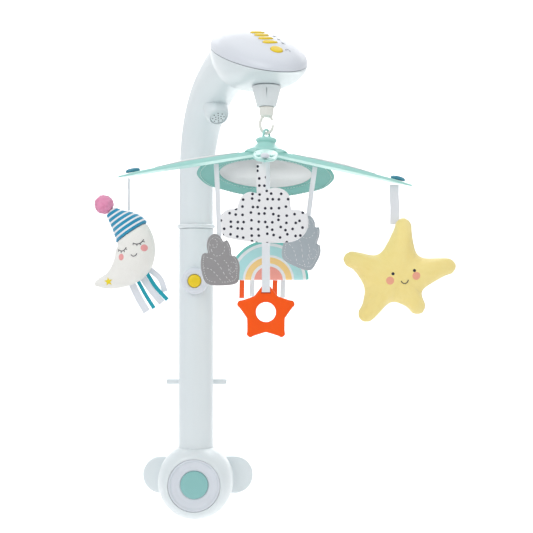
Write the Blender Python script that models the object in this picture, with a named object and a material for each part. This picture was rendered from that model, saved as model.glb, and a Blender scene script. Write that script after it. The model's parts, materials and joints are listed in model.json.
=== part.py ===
"""Crib mobile: a rail clamp and hollow post, a curved arm with a geared music box,
and a hanging canopy of three leaf arms and a round mirror that carries seven soft toys.

Units are metres, +Z is up.  The origin is the middle of the flat underside of the rail
rest, the face that sits on top of the crib rail.  -Y points into the crib.
"""
import bpy
import bmesh
from math import atan2, cos, degrees, pi, radians, sin, sqrt, tan
from mathutils import Vector

MM = 0.001
GAP = 0.3 * MM              # clearance between touching pieces
ROUND = 20                  # segments on large round pieces
SMALL_ROUND = 16            # segments on small round pieces

# ---- post and clamp -------------------------------------------------------------------
POST_Y = -38 * MM           # post axis, in front of the rail
POST_R = 23.5 * MM
POST_WALL = 2.5 * MM
POST_TOP = 212 * MM
CLAMP_Z = -130 * MM         # clamp screw axis, below the rail top
HOUSING_R = 51 * MM
HOUSING_FRONT = -35 * MM    # measured from the post axis, along Y
HOUSING_BACK = 25.5 * MM
DISH_R = 34.7 * MM
CAP_R = 18.3 * MM
SCREW_R = 5.0 * MM
SCREW_PITCH = 5.0 * MM
JAW_R = 30 * MM
JAW_FACE_Y = -10 * MM       # plane of the fixed rubber jaw
CLAMP_TRAVEL = 35 * MM
WING_SPAN = 154 * MM
WING_HEIGHT = 52 * MM
REST_WIDTH = 82 * MM
REST_THICK = 6.5 * MM
REST_BACK = 24 * MM
BUTTON_Z = 141 * MM
BEZEL_R = 18 * MM
RELEASE_R = 8.8 * MM

# ---- arm ------------------------------------------------------------------------------
ARM_TURN = radians(21)      # the arm points this far round from -Y, towards +X
REACH = 268 * MM            # post axis to spindle axis
SPIGOT_R = 20.2 * MM
SPIGOT_WALL = 2.4 * MM
SPIGOT_BOTTOM = 120 * MM
SPIGOT_TOP = 262 * MM
COLLAR_R = 26.4 * MM
ARM_BASE = 218.6 * MM
ARM_WALL = 2.1 * MM
ARM_BASE_R = 23.0 * MM
ARM_END_R = 31 * MM
ARM_CURVE = ((0, 262 * MM), (0, 355 * MM), (55 * MM, 400 * MM), (178 * MM, 408 * MM))

# ---- head -----------------------------------------------------------------------------
HEAD_REACH = 240 * MM       # centre of the head's seam ellipse
HEAD_Z = 396 * MM
HEAD_A = 82 * MM            # half length along the arm, in plan
HEAD_B = 50 * MM            # half width, in plan
HEAD_FALL = 0.47            # the seam falls this much per unit of reach
HEAD_LEAN = 0.08            # and rises this much per unit to the right
LID_HEIGHT = 22 * MM
SHELL = 2.2 * MM
BOWL_BOTTOM = 353.7 * MM
BOARD_HEIGHT = 4 * MM       # circuit board, above the seam plane
POWER_R = 6.7 * MM
POWER_AT = 54 * MM
PETAL_AT = (34.2 * MM, 21.1 * MM, 7.7 * MM, -5.3 * MM)
PETAL_LENGTH = 17 * MM
PETAL_WIDTH = 7.5 * MM
BUTTON_PROUD = 1.2 * MM

# ---- drive ----------------------------------------------------------------------------
MODULE = 1.0 * MM
OUTPUT_TEETH = 30
IDLER_SMALL = 10
IDLER_BIG = 24
PINION_TEETH = 10
GEAR_LOW = (366.3 * MM, 371.3 * MM)
GEAR_HIGH = (372.3 * MM, 377.3 * MM)
SHAFT_R = 4.0 * MM
IDLER_REACH = REACH - MODULE * (OUTPUT_TEETH + IDLER_SMALL) / 2
MOTOR_REACH = IDLER_REACH - MODULE * (IDLER_BIG + PINION_TEETH) / 2
PRESSURE_ANGLE = radians(25)

# ---- canopy, in its own frame: origin at the hook, Z along the hub -----------------------
PIVOT_Z = 301.7 * MM
CANOPY_ROLL = radians(1.7)  # the heavier star pulls its side down
TIP_R = 161 * MM
KNOB_R = 145 * MM
HUB_TOP = -10.9 * MM
EDGE_Z = -22.4 * MM         # underside of the arms at the hub
EDGE_SLOPE = 0.193
MIRROR_R = 55 * MM
RIM_R = 82 * MM
MIRROR_CENTRE = 92 * MM     # behind the hub
MIRROR_SLOPE = radians(10.5)
MIRROR_DROP = -15.9 * MM    # height of the mirror plane at the hub axis
RIM_DROOP = 0.13

# ---- toys, placed from the hub axis -----------------------------------------------------
RIBBON_THICK = 0.8 * MM
TOP_GAP = 1.9 * MM          # a ribbon starts this far below its fixing
STAR_R = 61 * MM
STAR_VALLEY = 33 * MM
STAR_Z = 148 * MM
TEETHER_R = 31.5 * MM
TEETHER_VALLEY = 21.5 * MM
TEETHER_HOLE = 10.8 * MM
TEETHER_Z = 106.5 * MM
RAINBOW_R = 53 * MM
RAINBOW_BASE = 141 * MM

ARM_DIR = Vector((sin(ARM_TURN), -cos(ARM_TURN), 0))
SIDE_DIR = Vector((cos(ARM_TURN), sin(ARM_TURN), 0))
UP = Vector((0, 0, 1))
POST_AXIS = Vector((0, POST_Y, 0))
HUB_AXIS = POST_AXIS + ARM_DIR * REACH
CLAMP_AXIS = Vector((0, POST_Y, CLAMP_Z))


# ---- scene helpers ----------------------------------------------------------------------
def clear_scene():
    for item in list(bpy.data.objects):
        bpy.data.objects.remove(item, do_unlink=True)


def make_material(name, colour, roughness, metallic=0.0):
    made = bpy.data.materials.new(name)
    made.use_nodes = True
    shader = made.node_tree.nodes["Principled BSDF"]
    shader.inputs["Base Color"].default_value = (*colour, 1)
    shader.inputs["Roughness"].default_value = roughness
    shader.inputs["Metallic"].default_value = metallic
    return made


def empty(name, at, parent=None, roll=0.0):
    made = bpy.data.objects.new(name, None)
    bpy.context.scene.collection.objects.link(made)
    made.location = at
    made.rotation_euler = (0, roll, 0)
    if parent:
        made.parent = parent
    bpy.context.view_layer.update()
    return made


def add_object(name, points, faces, look, holder=None, local=False):
    """Make one closed mesh object; its points are given in world space unless local."""
    mesh = bpy.data.meshes.new(name)
    mesh.from_pydata([tuple(p) for p in points], [], faces)
    if holder and not local:
        mesh.transform(holder.matrix_world.inverted())
    work = bmesh.new()
    work.from_mesh(mesh)
    bmesh.ops.remove_doubles(work, verts=work.verts, dist=1e-6)
    bmesh.ops.recalc_face_normals(work, faces=work.faces)
    if work.calc_volume(signed=True) < 0:
        bmesh.ops.reverse_faces(work, faces=work.faces)
    work.to_mesh(mesh)
    work.free()
    mesh.shade_smooth()
    mesh.set_sharp_from_angle(angle=radians(35))
    made = bpy.data.objects.new(name, mesh)
    bpy.context.scene.collection.objects.link(made)
    made.parent = holder
    if look:
        mesh.materials.append(LOOKS[look])
    return made


def as_cutter(obj):
    obj.hide_render = True
    obj.display_type = "WIRE"
    return obj


def boolean(obj, other, operation="DIFFERENCE"):
    """Cut, join or keep with a modifier; the other object becomes a guide."""
    step = obj.modifiers.new(operation.lower() + "_" + other.name, "BOOLEAN")
    step.operation = operation
    step.solver = "EXACT"
    step.object = as_cutter(other)
    return obj


# ---- shape helpers ----------------------------------------------------------------------
def axis_frame(axis):
    """Two unit vectors that complete a right-handed set with axis."""
    helper = Vector((1, 0, 0)) if abs(axis.x) < 0.9 else Vector((0, 1, 0))
    side = axis.cross(helper).normalized()
    return side, axis.cross(side).normalized()


def lathe(profile, centre, axis=UP, segments=ROUND, closed=True):
    """Turn (radius, height) points round an axis; a radius of 0 closes to one point."""
    side, other = axis_frame(axis)
    points, rings = [], []
    for radius, height in profile:
        if radius < 1e-7:
            rings.append([len(points)])
            points.append(centre + axis * height)
            continue
        ring = []
        for k in range(segments):
            turn = 2 * pi * k / segments
            ring.append(len(points))
            points.append(centre + axis * height + (side * cos(turn) + other * sin(turn)) * radius)
        rings.append(ring)
    pairs = list(zip(rings, rings[1:]))
    if closed:
        pairs.append((rings[-1], rings[0]))
    faces = []
    for low, high in pairs:
        faces += bridge(low, high)
    return points, faces


def bridge(low, high):
    """Faces between two rings of the same size, or between a ring and a point."""
    if len(low) == 1 and len(high) == 1:
        return []
    count = max(len(low), len(high))
    faces = []
    for k in range(count):
        nxt = (k + 1) % count
        if len(low) == 1:
            faces.append((low[0], high[k], high[nxt]))
        elif len(high) == 1:
            faces.append((low[k], low[nxt], high[0]))
        else:
            faces.append((low[k], low[nxt], high[nxt], high[k]))
    return faces


def loft(rings, cap_ends=True):
    """Skin rings of points of equal count; ends are closed by fans on their middles."""
    points, index = [], []
    for ring in rings:
        index.append(list(range(len(points), len(points) + len(ring))))
        points += [Vector(p) for p in ring]
    faces = []
    for low, high in zip(index, index[1:]):
        faces += bridge(low, high)
    if cap_ends:
        for ring in (index[0], index[-1]):
            middle = sum((points[k] for k in ring), Vector()) / len(ring)
            points.append(middle)
            faces += bridge(ring, [len(points) - 1])
    return points, faces


def closed_loft(rings):
    """Skin rings into a closed tube whose last ring joins its first."""
    points, faces = loft(rings, cap_ends=False)
    size = len(rings[0])
    last = [len(points) - size + k for k in range(size)]
    return points, faces + bridge(last, list(range(size)))


def box(low, high):
    corners = [(x, y, z) for x in (low[0], high[0]) for y in (low[1], high[1])
               for z in (low[2], high[2])]
    faces = [(0, 1, 3, 2), (4, 6, 7, 5), (0, 4, 5, 1), (2, 3, 7, 6), (0, 2, 6, 4), (1, 5, 7, 3)]
    return corners, faces


def merge(*parts):
    points, faces = [], []
    for more_points, more_faces in parts:
        start = len(points)
        points += [Vector(p) for p in more_points]
        faces += [tuple(start + k for k in face) for face in more_faces]
    return points, faces


def slab(outline, centre, across, up, thick, edge=0.0):
    """A flat piece of an (x, y) outline, its two long edges bevelled by edge."""
    through = across.cross(up).normalized()
    half = thick / 2
    levels = ((1 - edge, -half), (1, -half * 0.4), (1, half * 0.4), (1 - edge, half))
    if not edge:
        levels = ((1, -half), (1, half))
    rings = []
    for scale, depth in levels:
        rings.append([centre + across * (x * scale) + up * (y * scale) + through * depth
                      for x, y in outline])
    return loft(rings)


def pillow(outline, centre, across, up, half):
    """A puffed piece: the outline at mid thickness, domed on both faces."""
    through = across.cross(up).normalized()
    levels = ((0.5, -1), (0.88, -0.6), (1, 0), (0.88, 0.6), (0.5, 1))
    rings = []
    for scale, depth in levels:
        rings.append([centre + across * (x * scale) + up * (y * scale) + through * (depth * half)
                      for x, y in outline])
    return loft(rings)


def star_outline(tip, valley, turn, count, sharpness=1.5):
    """A five-pointed star with soft tips."""
    made = []
    for k in range(count):
        angle = 2 * pi * k / count
        lift = ((cos(5 * angle) + 1) / 2) ** sharpness
        radius = valley + (tip - valley) * lift
        made.append((radius * cos(angle + turn), radius * sin(angle + turn)))
    return made


def closed_curve(points, steps):
    """A smooth closed outline through a few points."""
    count = len(points)
    wrapped = [points[(k - 1) % count] for k in range(count + 3)]
    made = []
    for k in range(count):
        a, b, c, d = wrapped[k:k + 4]
        for j in range(steps):
            t = j / steps
            made.append(tuple(0.5 * (2 * q + (r - p) * t + (2 * p - 5 * q + 4 * r - s) * t * t
                                     + (3 * q - p - 3 * r + s) * t ** 3)
                              for p, q, r, s in zip(a, b, c, d)))
    return made


def catmull(points, steps):
    """A smooth run through points, whatever their number of coordinates."""
    ends = [points[0]] + list(points) + [points[-1]]
    made = []
    for a, b, c, d in zip(ends, ends[1:], ends[2:], ends[3:]):
        for k in range(steps):
            t = k / steps
            made.append(tuple(0.5 * (2 * q + (r - p) * t + (2 * p - 5 * q + 4 * r - s) * t * t
                                     + (3 * q - p - 3 * r + s) * t ** 3)
                              for p, q, r, s in zip(a, b, c, d)))
    made.append(tuple(points[-1]))
    return made


def tube(path, radius, sides=8, close=False):
    """A round tube along a path that lies in one plane."""
    count = len(path)
    normal = (path[count // 3] - path[0]).cross(path[-2] - path[0]).normalized()
    rings = []
    for k, point in enumerate(path):
        before = path[(k - 1) % count] if close else path[max(k - 1, 0)]
        after = path[(k + 1) % count] if close else path[min(k + 1, count - 1)]
        tangent = (after - before).normalized()
        inward = normal.cross(tangent)
        rings.append([point + (inward * cos(2 * pi * j / sides) + normal * sin(2 * pi * j / sides))
                      * radius for j in range(sides)])
    return closed_loft(rings) if close else loft(rings)


# ---- materials --------------------------------------------------------------------------
def make_looks():
    return {
        "white": make_material("white_plastic", (0.86, 0.90, 0.92), 0.35),
        "lid": make_material("lid_plastic", (0.88, 0.89, 0.92), 0.35),
        "cream": make_material("cream_plastic", (0.90, 0.89, 0.82), 0.4),
        "teal": make_material("teal_plastic", (0.42, 0.80, 0.75), 0.3),
        "teal_cap": make_material("teal_cap", (0.38, 0.68, 0.66), 0.4),
        "yellow": make_material("yellow_plastic", (0.93, 0.77, 0.18), 0.35),
        "rubber": make_material("grey_rubber", (0.35, 0.37, 0.38), 0.8),
        "steel": make_material("zinc_steel", (0.62, 0.63, 0.65), 0.35, 1.0),
        "inner": make_material("inner_plastic", (0.75, 0.76, 0.77), 0.5),
        "board": make_material("board_green", (0.08, 0.32, 0.16), 0.5),
        "gear": make_material("acetal_gear", (0.90, 0.88, 0.80), 0.4),
        "knob": make_material("blue_knob", (0.10, 0.42, 0.55), 0.3),
        "panel": make_material("grey_panel", (0.80, 0.79, 0.80), 0.7),
        "rim": make_material("teal_felt", (0.30, 0.62, 0.58), 0.9),
        "mirror": make_material("mirror_film", (0.78, 0.80, 0.81), 0.15, 0.6),
        "ribbon": make_material("white_ribbon", (0.90, 0.91, 0.93), 0.6),
        "moon": make_material("moon_velour", (0.88, 0.86, 0.82), 0.9),
        "hat": make_material("striped_jersey", (0.05, 0.47, 0.65), 0.9),
        "star": make_material("yellow_plush", (0.95, 0.86, 0.45), 0.95),
        "cloud": make_material("dotted_cotton", (0.93, 0.93, 0.94), 0.9),
        "grey": make_material("grey_felt", (0.55, 0.55, 0.56), 0.95),
        "rainbow": make_material("rainbow_cotton", (0.60, 0.83, 0.84), 0.9),
        "orange": make_material("orange_silicone", (0.93, 0.24, 0.04), 0.45),
    }


# ---- post and clamp ---------------------------------------------------------------------
def post_cylinder(name, radius, low=-0.2, high=0.3):
    points, faces = lathe([(0, low), (radius, low), (radius, high), (0, high)], POST_AXIS,
                          closed=False)
    return add_object(name, points, faces, None)


def build_post():
    wall_in = POST_R - POST_WALL
    bottom = CLAMP_Z + 24 * MM
    points, faces = lathe([(POST_R, bottom), (POST_R, POST_TOP - 1 * MM),
                           (POST_R - 0.8 * MM, POST_TOP), (wall_in, POST_TOP),
                           (wall_in, bottom)], POST_AXIS)
    post = add_object("lower_post", points, faces, "white")
    points, faces = lathe([(0, -30 * MM), (3.5 * MM, -30 * MM), (3.5 * MM, -10 * MM),
                           (0, -10 * MM)], Vector((0, POST_Y, BUTTON_Z)), Vector((0, 1, 0)),
                          SMALL_ROUND, closed=False)
    boolean(post, add_object("latch_hole", points, faces, None))


def build_clamp():
    along = Vector((0, 1, 0))
    socket = post_cylinder("post_socket", POST_R + GAP, CLAMP_Z + 23 * MM, 0.1)
    outer = [(DISH_R + GAP, HOUSING_FRONT), (37.5 * MM, HOUSING_FRONT + 0.6 * MM),
             (44 * MM, -29 * MM), (48.5 * MM, -19 * MM), (HOUSING_R, -4 * MM),
             (HOUSING_R, 4 * MM), (49 * MM, 15 * MM), (46 * MM, 22 * MM), (44 * MM, HOUSING_BACK)]
    inner = [(41.5 * MM, HOUSING_BACK), (43.5 * MM, 21 * MM), (46.5 * MM, 14 * MM),
             (48.5 * MM, 4 * MM), (48.5 * MM, -4 * MM), (46 * MM, -18 * MM), (42 * MM, -27 * MM),
             (DISH_R + GAP, -31.5 * MM)]
    housing = add_object("clamp_housing", *lathe(outer + inner, CLAMP_AXIS, along, 24), "white")
    boolean(housing, socket)
    plate = add_object("clamp_back_plate", *lathe(
        [(SCREW_R + GAP, 20 * MM), (12 * MM, 20 * MM), (12 * MM, 22 * MM), (41 * MM, 22 * MM),
         (41 * MM, HOUSING_BACK), (SCREW_R + GAP, HOUSING_BACK)], CLAMP_AXIS, along), "white")
    boolean(plate, socket)
    add_object("clamp_dish", *lathe(
        [(CAP_R + GAP, -29 * MM), (24 * MM, -30 * MM), (31 * MM, -33 * MM),
         (DISH_R - 1 * MM, HOUSING_FRONT - 1 * MM), (DISH_R, HOUSING_FRONT + 0.4 * MM),
         (DISH_R, -31 * MM), (30 * MM, -29 * MM), (CAP_R + GAP, -26 * MM)],
        CLAMP_AXIS, along, 24), "lid")
    add_object("clamp_cap", *lathe(
        [(0, -32 * MM), (12 * MM, -31.8 * MM), (CAP_R - 1 * MM, -31 * MM), (CAP_R, -30 * MM),
         (CAP_R, -26.5 * MM), (0, -26.5 * MM)], CLAMP_AXIS, along, closed=False), "teal_cap")
    add_object("front_jaw_pad", *lathe(
        [(8 * MM, HOUSING_BACK + GAP), (JAW_R, HOUSING_BACK + GAP),
         (JAW_R, JAW_FACE_Y - POST_Y), (8 * MM, JAW_FACE_Y - POST_Y)], CLAMP_AXIS, along),
        "rubber")
    build_screw(along)
    build_jaws(along)


def build_screw(along):
    """The clamp screw: a round head inside the housing and a threaded stem to the back."""
    head_back = 19.5 * MM
    end = JAW_FACE_Y - POST_Y + CLAMP_TRAVEL + 20 * MM
    profile = [(0, 12 * MM), (9 * MM, 12 * MM), (9 * MM, head_back), (SCREW_R, head_back)]
    start = 30 * MM
    ridges = int((end - start) / SCREW_PITCH)
    for k in range(ridges):
        at = start + k * SCREW_PITCH
        profile += [(SCREW_R, at), (SCREW_R - 0.9 * MM, at + SCREW_PITCH / 2)]
    profile += [(SCREW_R - 0.9 * MM, end), (0, end)]
    add_object("clamp_screw", *lathe(profile, CLAMP_AXIS, along, 12, closed=False), "steel")


def build_jaws(along):
    bore = SCREW_R + 0.4 * MM
    start = JAW_FACE_Y - POST_Y + GAP
    add_object("rear_jaw", *lathe(
        [(bore, start), (JAW_R, start), (JAW_R + 1 * MM, start + 1 * MM),
         (JAW_R + 1 * MM, start + 5 * MM), (bore, start + 6 * MM)], CLAMP_AXIS, along),
        "white", BODIES["rear_jaw"])
    face = start + 6 * MM + GAP
    half = WING_SPAN / 2 - WING_HEIGHT / 2
    outline = []
    for k in range(24):
        turn = 2 * pi * (k + 0.5) / 24
        shift = half if cos(turn) > 0 else -half
        outline.append((shift + WING_HEIGHT / 2 * cos(turn), WING_HEIGHT / 2 * sin(turn)))
    middle = CLAMP_AXIS + along * (face + 4 * MM)
    nut = add_object("wing_nut", *slab(outline, middle, Vector((1, 0, 0)), UP, 8 * MM, 0.03),
                     "white", BODIES["wing_nut"])
    boss = add_object("nut_boss", *lathe(
        [(0, face + 2 * MM), (17 * MM, face + 2 * MM), (15.5 * MM, face + 18 * MM),
         (0, face + 18 * MM)], CLAMP_AXIS, along, closed=False), None, BODIES["wing_nut"])
    hole = add_object("nut_bore", *lathe(
        [(0, face - 5 * MM), (bore, face - 5 * MM), (bore, face + 25 * MM),
         (0, face + 25 * MM)], CLAMP_AXIS, along, SMALL_ROUND, closed=False), None,
        BODIES["wing_nut"])
    boolean(nut, boss, "UNION")
    boolean(nut, hole)


def build_rail_rest():
    half = REST_WIDTH / 2
    rest = add_object("rail_rest", *box((-half, -32 * MM, 0), (half, REST_BACK, REST_THICK)),
                      "white")
    rib = add_object("rest_rib", *box((-9 * MM, -30 * MM, 2 * MM),
                                      (9 * MM, -8 * MM, 34 * MM)), None)
    boolean(rest, rib, "UNION")
    boolean(rest, post_cylinder("rest_saddle", POST_R + GAP))


def build_release():
    along = Vector((0, 1, 0))
    centre = Vector((0, POST_Y, BUTTON_Z))
    bezel = add_object("release_bezel", *lathe(
        [(RELEASE_R + 0.4 * MM, -16 * MM), (RELEASE_R + 0.4 * MM, -31.5 * MM),
         (BEZEL_R - 3 * MM, -32 * MM), (BEZEL_R - 0.7 * MM, -30.5 * MM),
         (BEZEL_R, -27.5 * MM), (BEZEL_R, -16 * MM)], centre, along), "lid")
    boolean(bezel, post_cylinder("bezel_saddle", POST_R + GAP))
    add_object("release_button", *lathe(
        [(0, -34.2 * MM), (5 * MM, -33.9 * MM), (RELEASE_R - 0.8 * MM, -33 * MM),
         (RELEASE_R, -31.8 * MM), (RELEASE_R, -28.5 * MM), (3 * MM, -28.5 * MM),
         (3 * MM, -21.4 * MM), (0, -21.4 * MM)], centre, along, 20, closed=False),
        "yellow", BODIES["release_button"])


# ---- arm --------------------------------------------------------------------------------
def arm_point(reach, height, side=0.0):
    return POST_AXIS + ARM_DIR * reach + SIDE_DIR * side + UP * height


def arm_path(stations=11):
    """(reach, height, radius) along the arm: a straight foot, then one Bezier sweep."""
    made = [(0, ARM_BASE, ARM_BASE_R), (0, (ARM_BASE + SPIGOT_TOP) / 2, ARM_BASE_R)]
    a, b, c, d = ARM_CURVE
    for k in range(stations + 1):
        t = k / stations
        weights = ((1 - t) ** 3, 3 * t * (1 - t) ** 2, 3 * t * t * (1 - t), t ** 3)
        reach, height = (sum(w * p[j] for w, p in zip(weights, (a, b, c, d))) for j in (0, 1))
        made.append((reach, height, ARM_BASE_R + (ARM_END_R - ARM_BASE_R) * t ** 1.3))
    return made


def arm_frames():
    """Centre, in-plane normal (towards the hollow of the bend) and radius at each station."""
    path = arm_path()
    made = []
    for k, (reach, height, radius) in enumerate(path):
        before, after = path[max(k - 1, 0)], path[min(k + 1, len(path) - 1)]
        along = (arm_point(after[0], after[1]) - arm_point(before[0], before[1])).normalized()
        made.append((arm_point(reach, height), SIDE_DIR.cross(along).normalized(), radius))
    return made


def arm_half(start, end, arcs=9):
    """One long half shell of the arm, between two angles round the path."""
    rings = []
    for centre, normal, radius in arm_frames():
        if normal.dot(ARM_DIR) < 0:
            normal = -normal
        ring = []
        for wall, order in ((radius, range(arcs)), (radius - ARM_WALL, reversed(range(arcs)))):
            edge = GAP / 2 / radius
            for k in order:
                turn = start + edge + (end - start - 2 * edge) * k / (arcs - 1)
                ring.append(centre + (normal * cos(turn) + SIDE_DIR * sin(turn)) * wall)
        rings.append(ring)
    points, index = [], []
    for ring in rings:
        index.append(list(range(len(points), len(points) + len(ring))))
        points += ring
    faces = []
    for low, high in zip(index, index[1:]):
        faces += bridge(low, high)
    size = 2 * arcs
    for ring in (index[0], index[-1]):
        for k in range(arcs - 1):
            faces.append((ring[k], ring[k + 1], ring[size - 2 - k], ring[size - 1 - k]))
    return points, faces


def arm_volume(name, grow, sides=20):
    rings = []
    for centre, normal, radius in arm_frames():
        rings.append([centre + (normal * cos(2 * pi * k / sides) + SIDE_DIR * sin(2 * pi * k / sides))
                      * (radius + grow) for k in range(sides)])
    return add_object(name, *loft(rings), None, BODIES["arm"])


def build_spigot():
    inner = SPIGOT_R - SPIGOT_WALL
    spigot = add_object("arm_spigot", *lathe(
        [(SPIGOT_R, SPIGOT_BOTTOM), (SPIGOT_R, SPIGOT_TOP - GAP), (inner, SPIGOT_TOP - GAP),
         (inner, SPIGOT_BOTTOM)], POST_AXIS), "white", BODIES["spigot"])
    hole = add_object("spigot_hole", *lathe(
        [(0, -25 * MM), (3.6 * MM, -25 * MM), (3.6 * MM, -12 * MM), (0, -12 * MM)],
        Vector((0, POST_Y, BUTTON_Z)), Vector((0, 1, 0)), SMALL_ROUND, closed=False),
        None, BODIES["spigot"])
    collar = add_object("arm_collar", *lathe(
        [(SPIGOT_R - 1 * MM, POST_TOP + GAP), (COLLAR_R - 2 * MM, POST_TOP + GAP),
         (COLLAR_R, POST_TOP + 2 * MM), (COLLAR_R, POST_TOP + 4.2 * MM),
         (COLLAR_R - 2 * MM, ARM_BASE - GAP), (SPIGOT_R - 1 * MM, ARM_BASE - GAP)], POST_AXIS),
        None, BODIES["spigot"])
    boolean(spigot, collar, "UNION")
    boolean(spigot, hole)


def build_arm():
    holder = BODIES["arm"]
    head = head_volume("head_clearance", 0.4 * MM)
    front = add_object("arm_shell_front", *arm_half(-pi / 2, pi / 2), "white", holder)
    back = add_object("arm_shell_back", *arm_half(pi / 2, 3 * pi / 2), "white", holder)
    boolean(front, head)
    boolean(back, head)
    build_batteries(holder)
    build_sensor(holder)


def build_batteries(holder):
    """Three dry cells in a carrier, in the foot of the arm above the spigot."""
    low, high = arm_point(1 * MM, 267 * MM), arm_point(9 * MM, 317 * MM)
    axis = (high - low).normalized()
    side, other = axis_frame(axis)
    cells = []
    for k in range(3):
        turn = 2 * pi * k / 3
        centre = low + (side * cos(turn) + other * sin(turn)) * (8.5 * MM)
        cells.append(lathe([(0, 0), (7.1 * MM, 0), (7.1 * MM, 48 * MM), (2.7 * MM, 48.4 * MM),
                            (2.7 * MM, 50 * MM), (0, 50 * MM)], centre, axis, 12, closed=False))
    pack = add_object("battery_pack", *cells[0], "steel", holder)
    for number, cell in enumerate(cells[1:], 2):
        boolean(pack, add_object(f"cell_{number}", *cell, None, holder), "UNION")
    core = lathe([(0, 4 * MM), (5 * MM, 4 * MM), (5 * MM, 40 * MM), (0, 40 * MM)], low, axis, 12,
                 closed=False)
    boolean(pack, add_object("cell_carrier", *core, None, holder), "UNION")


def build_sensor(holder):
    """The microphone pod under the bend: a short barrel that looks forward and down."""
    axis = (ARM_DIR * 0.62 - UP * 0.785).normalized()
    face = arm_point(97 * MM, 348.5 * MM)
    pod = add_object("sensor_pod", *lathe(
        [(10.3 * MM, 0.6 * MM), (11.5 * MM, 1.0 * MM), (13.6 * MM, -1.2 * MM),
         (15.2 * MM, -6 * MM), (15.5 * MM, -12 * MM), (15.5 * MM, -42 * MM),
         (13.3 * MM, -42 * MM), (13.3 * MM, -8 * MM), (10.3 * MM, -2.5 * MM)],
        face, axis, 24), "white", holder)
    boolean(pod, arm_volume("arm_clearance", GAP))
    grille = add_object("sensor_grille", *lathe(
        [(0, 0.9 * MM), (6 * MM, 0.7 * MM), (10 * MM, 0), (10 * MM, -1.8 * MM),
         (0, -1.8 * MM)], face, axis, 20, closed=False), "white", holder)
    side, other = axis_frame(axis)
    holes = []
    for count, ring_r in ((1, 0.0), (6, 5.2 * MM)):
        for k in range(count):
            turn = 2 * pi * k / count
            centre = face + (side * cos(turn) + other * sin(turn)) * ring_r
            holes.append(lathe([(0, -4 * MM), (0.95 * MM, -4 * MM), (0.95 * MM, 3 * MM),
                                (0, 3 * MM)], centre, axis, 6, closed=False))
    boolean(grille, add_object("grille_holes", *merge(*holes), None, holder))


# ---- head -------------------------------------------------------------------------------
def head_point(along, across, height=0.0):
    """A point from the head's centre: along the arm, to the right, and off the seam plane."""
    z = HEAD_Z - HEAD_FALL * along + HEAD_LEAN * across
    return arm_point(HEAD_REACH + along, z, across) + head_normal() * height


def head_normal():
    return (ARM_DIR * HEAD_FALL - SIDE_DIR * HEAD_LEAN + UP).normalized()


def lid_height(along, across, height=LID_HEIGHT):
    inside = 1 - (along / HEAD_A) ** 2 - (across / HEAD_B) ** 2
    return height * sqrt(max(inside, 0.0))


def lid_rings(shrink, height, lift, steps=5, count=26):
    """Rings of the lid's dome from its rim to its crown."""
    rings = []
    for k in range(steps):
        turn = pi / 2 * k / steps
        rings.append([head_point((HEAD_A - shrink) * cos(turn) * cos(2 * pi * j / count),
                                 (HEAD_B - shrink) * cos(turn) * sin(2 * pi * j / count),
                                 lift + height * sin(turn)) for j in range(count)])
    rings.append([head_point(0, 0, lift + height)])
    return rings


def bowl_ring(turn, shrink, count=26):
    """One ring of the bowl: the seam ellipse shrinking to the spindle hole."""
    depth = (BOWL_BOTTOM + shrink * 1.0)
    blend, inward = sin(turn), 1 - cos(turn)
    shift = (REACH - HEAD_REACH) * inward
    hole = SHAFT_R + 0.4 * MM + 4 * MM
    half_a = (HEAD_A - shrink) * cos(turn) ** 0.85 + hole * inward
    half_b = (HEAD_B - shrink) * cos(turn) ** 0.85 + hole * inward
    ring = []
    for j in range(count):
        along = shift + half_a * cos(2 * pi * j / count)
        across = half_b * sin(2 * pi * j / count)
        seam = head_point(along, across)
        ring.append(Vector((seam.x, seam.y, seam.z * (1 - blend) + depth * blend)))
    return ring


def spindle_ring(radius, height, count=26):
    return [arm_point(REACH + radius * cos(2 * pi * j / count), height,
                      radius * sin(2 * pi * j / count)) for j in range(count)]


def head_volume(name, grow):
    """The head's whole outer shape, closed, used to fit the arm to it."""
    lid = lid_rings(-grow, LID_HEIGHT + grow, 0)
    bowl = [bowl_ring(pi / 2 * k / 6, -grow) for k in range(1, 6)]
    rings = list(reversed(lid)) + bowl + [spindle_ring(8 * MM, BOWL_BOTTOM - grow),
                                          [arm_point(REACH, BOWL_BOTTOM - grow)]]
    return add_object(name, *skin(rings), None, BODIES["arm"])


def skin(rings):
    """Skin rings that may end in single points."""
    points, index = [], []
    for ring in rings:
        index.append(list(range(len(points), len(points) + len(ring))))
        points += ring
    faces = []
    for low, high in zip(index, index[1:]):
        faces += bridge(low, high)
    return points, faces


def build_head():
    holder = BODIES["arm"]
    bore = SHAFT_R + 0.4 * MM
    outer = [bowl_ring(pi / 2 * k / 6, 0) for k in range(6)]
    inner = [bowl_ring(pi / 2 * k / 6, SHELL) for k in range(6)]
    drop = head_normal() * (0.15 * MM)
    outer[0] = [p - drop for p in outer[0]]
    inner[0] = [p - drop for p in inner[0]]
    rings = outer + [spindle_ring(9 * MM, BOWL_BOTTOM), spindle_ring(bore, BOWL_BOTTOM),
                     spindle_ring(bore, 362 * MM), spindle_ring(bore + 3 * MM, 362 * MM),
                     spindle_ring(bore + 4 * MM, BOWL_BOTTOM + SHELL)] + list(reversed(inner))
    bowl = add_object("head_bowl", *closed_loft(rings), "white", holder)
    boolean(bowl, arm_volume("arm_bore", -ARM_WALL - 1 * MM, 20))
    outer = lid_rings(0, LID_HEIGHT, 0.15 * MM)
    inner = lid_rings(SHELL, LID_HEIGHT - SHELL, 0.15 * MM)
    points, faces = skin(list(reversed(outer)) + inner)
    lid = add_object("head_lid", points, faces, "lid", holder)
    build_buttons(lid)
    build_inside(holder)


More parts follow.
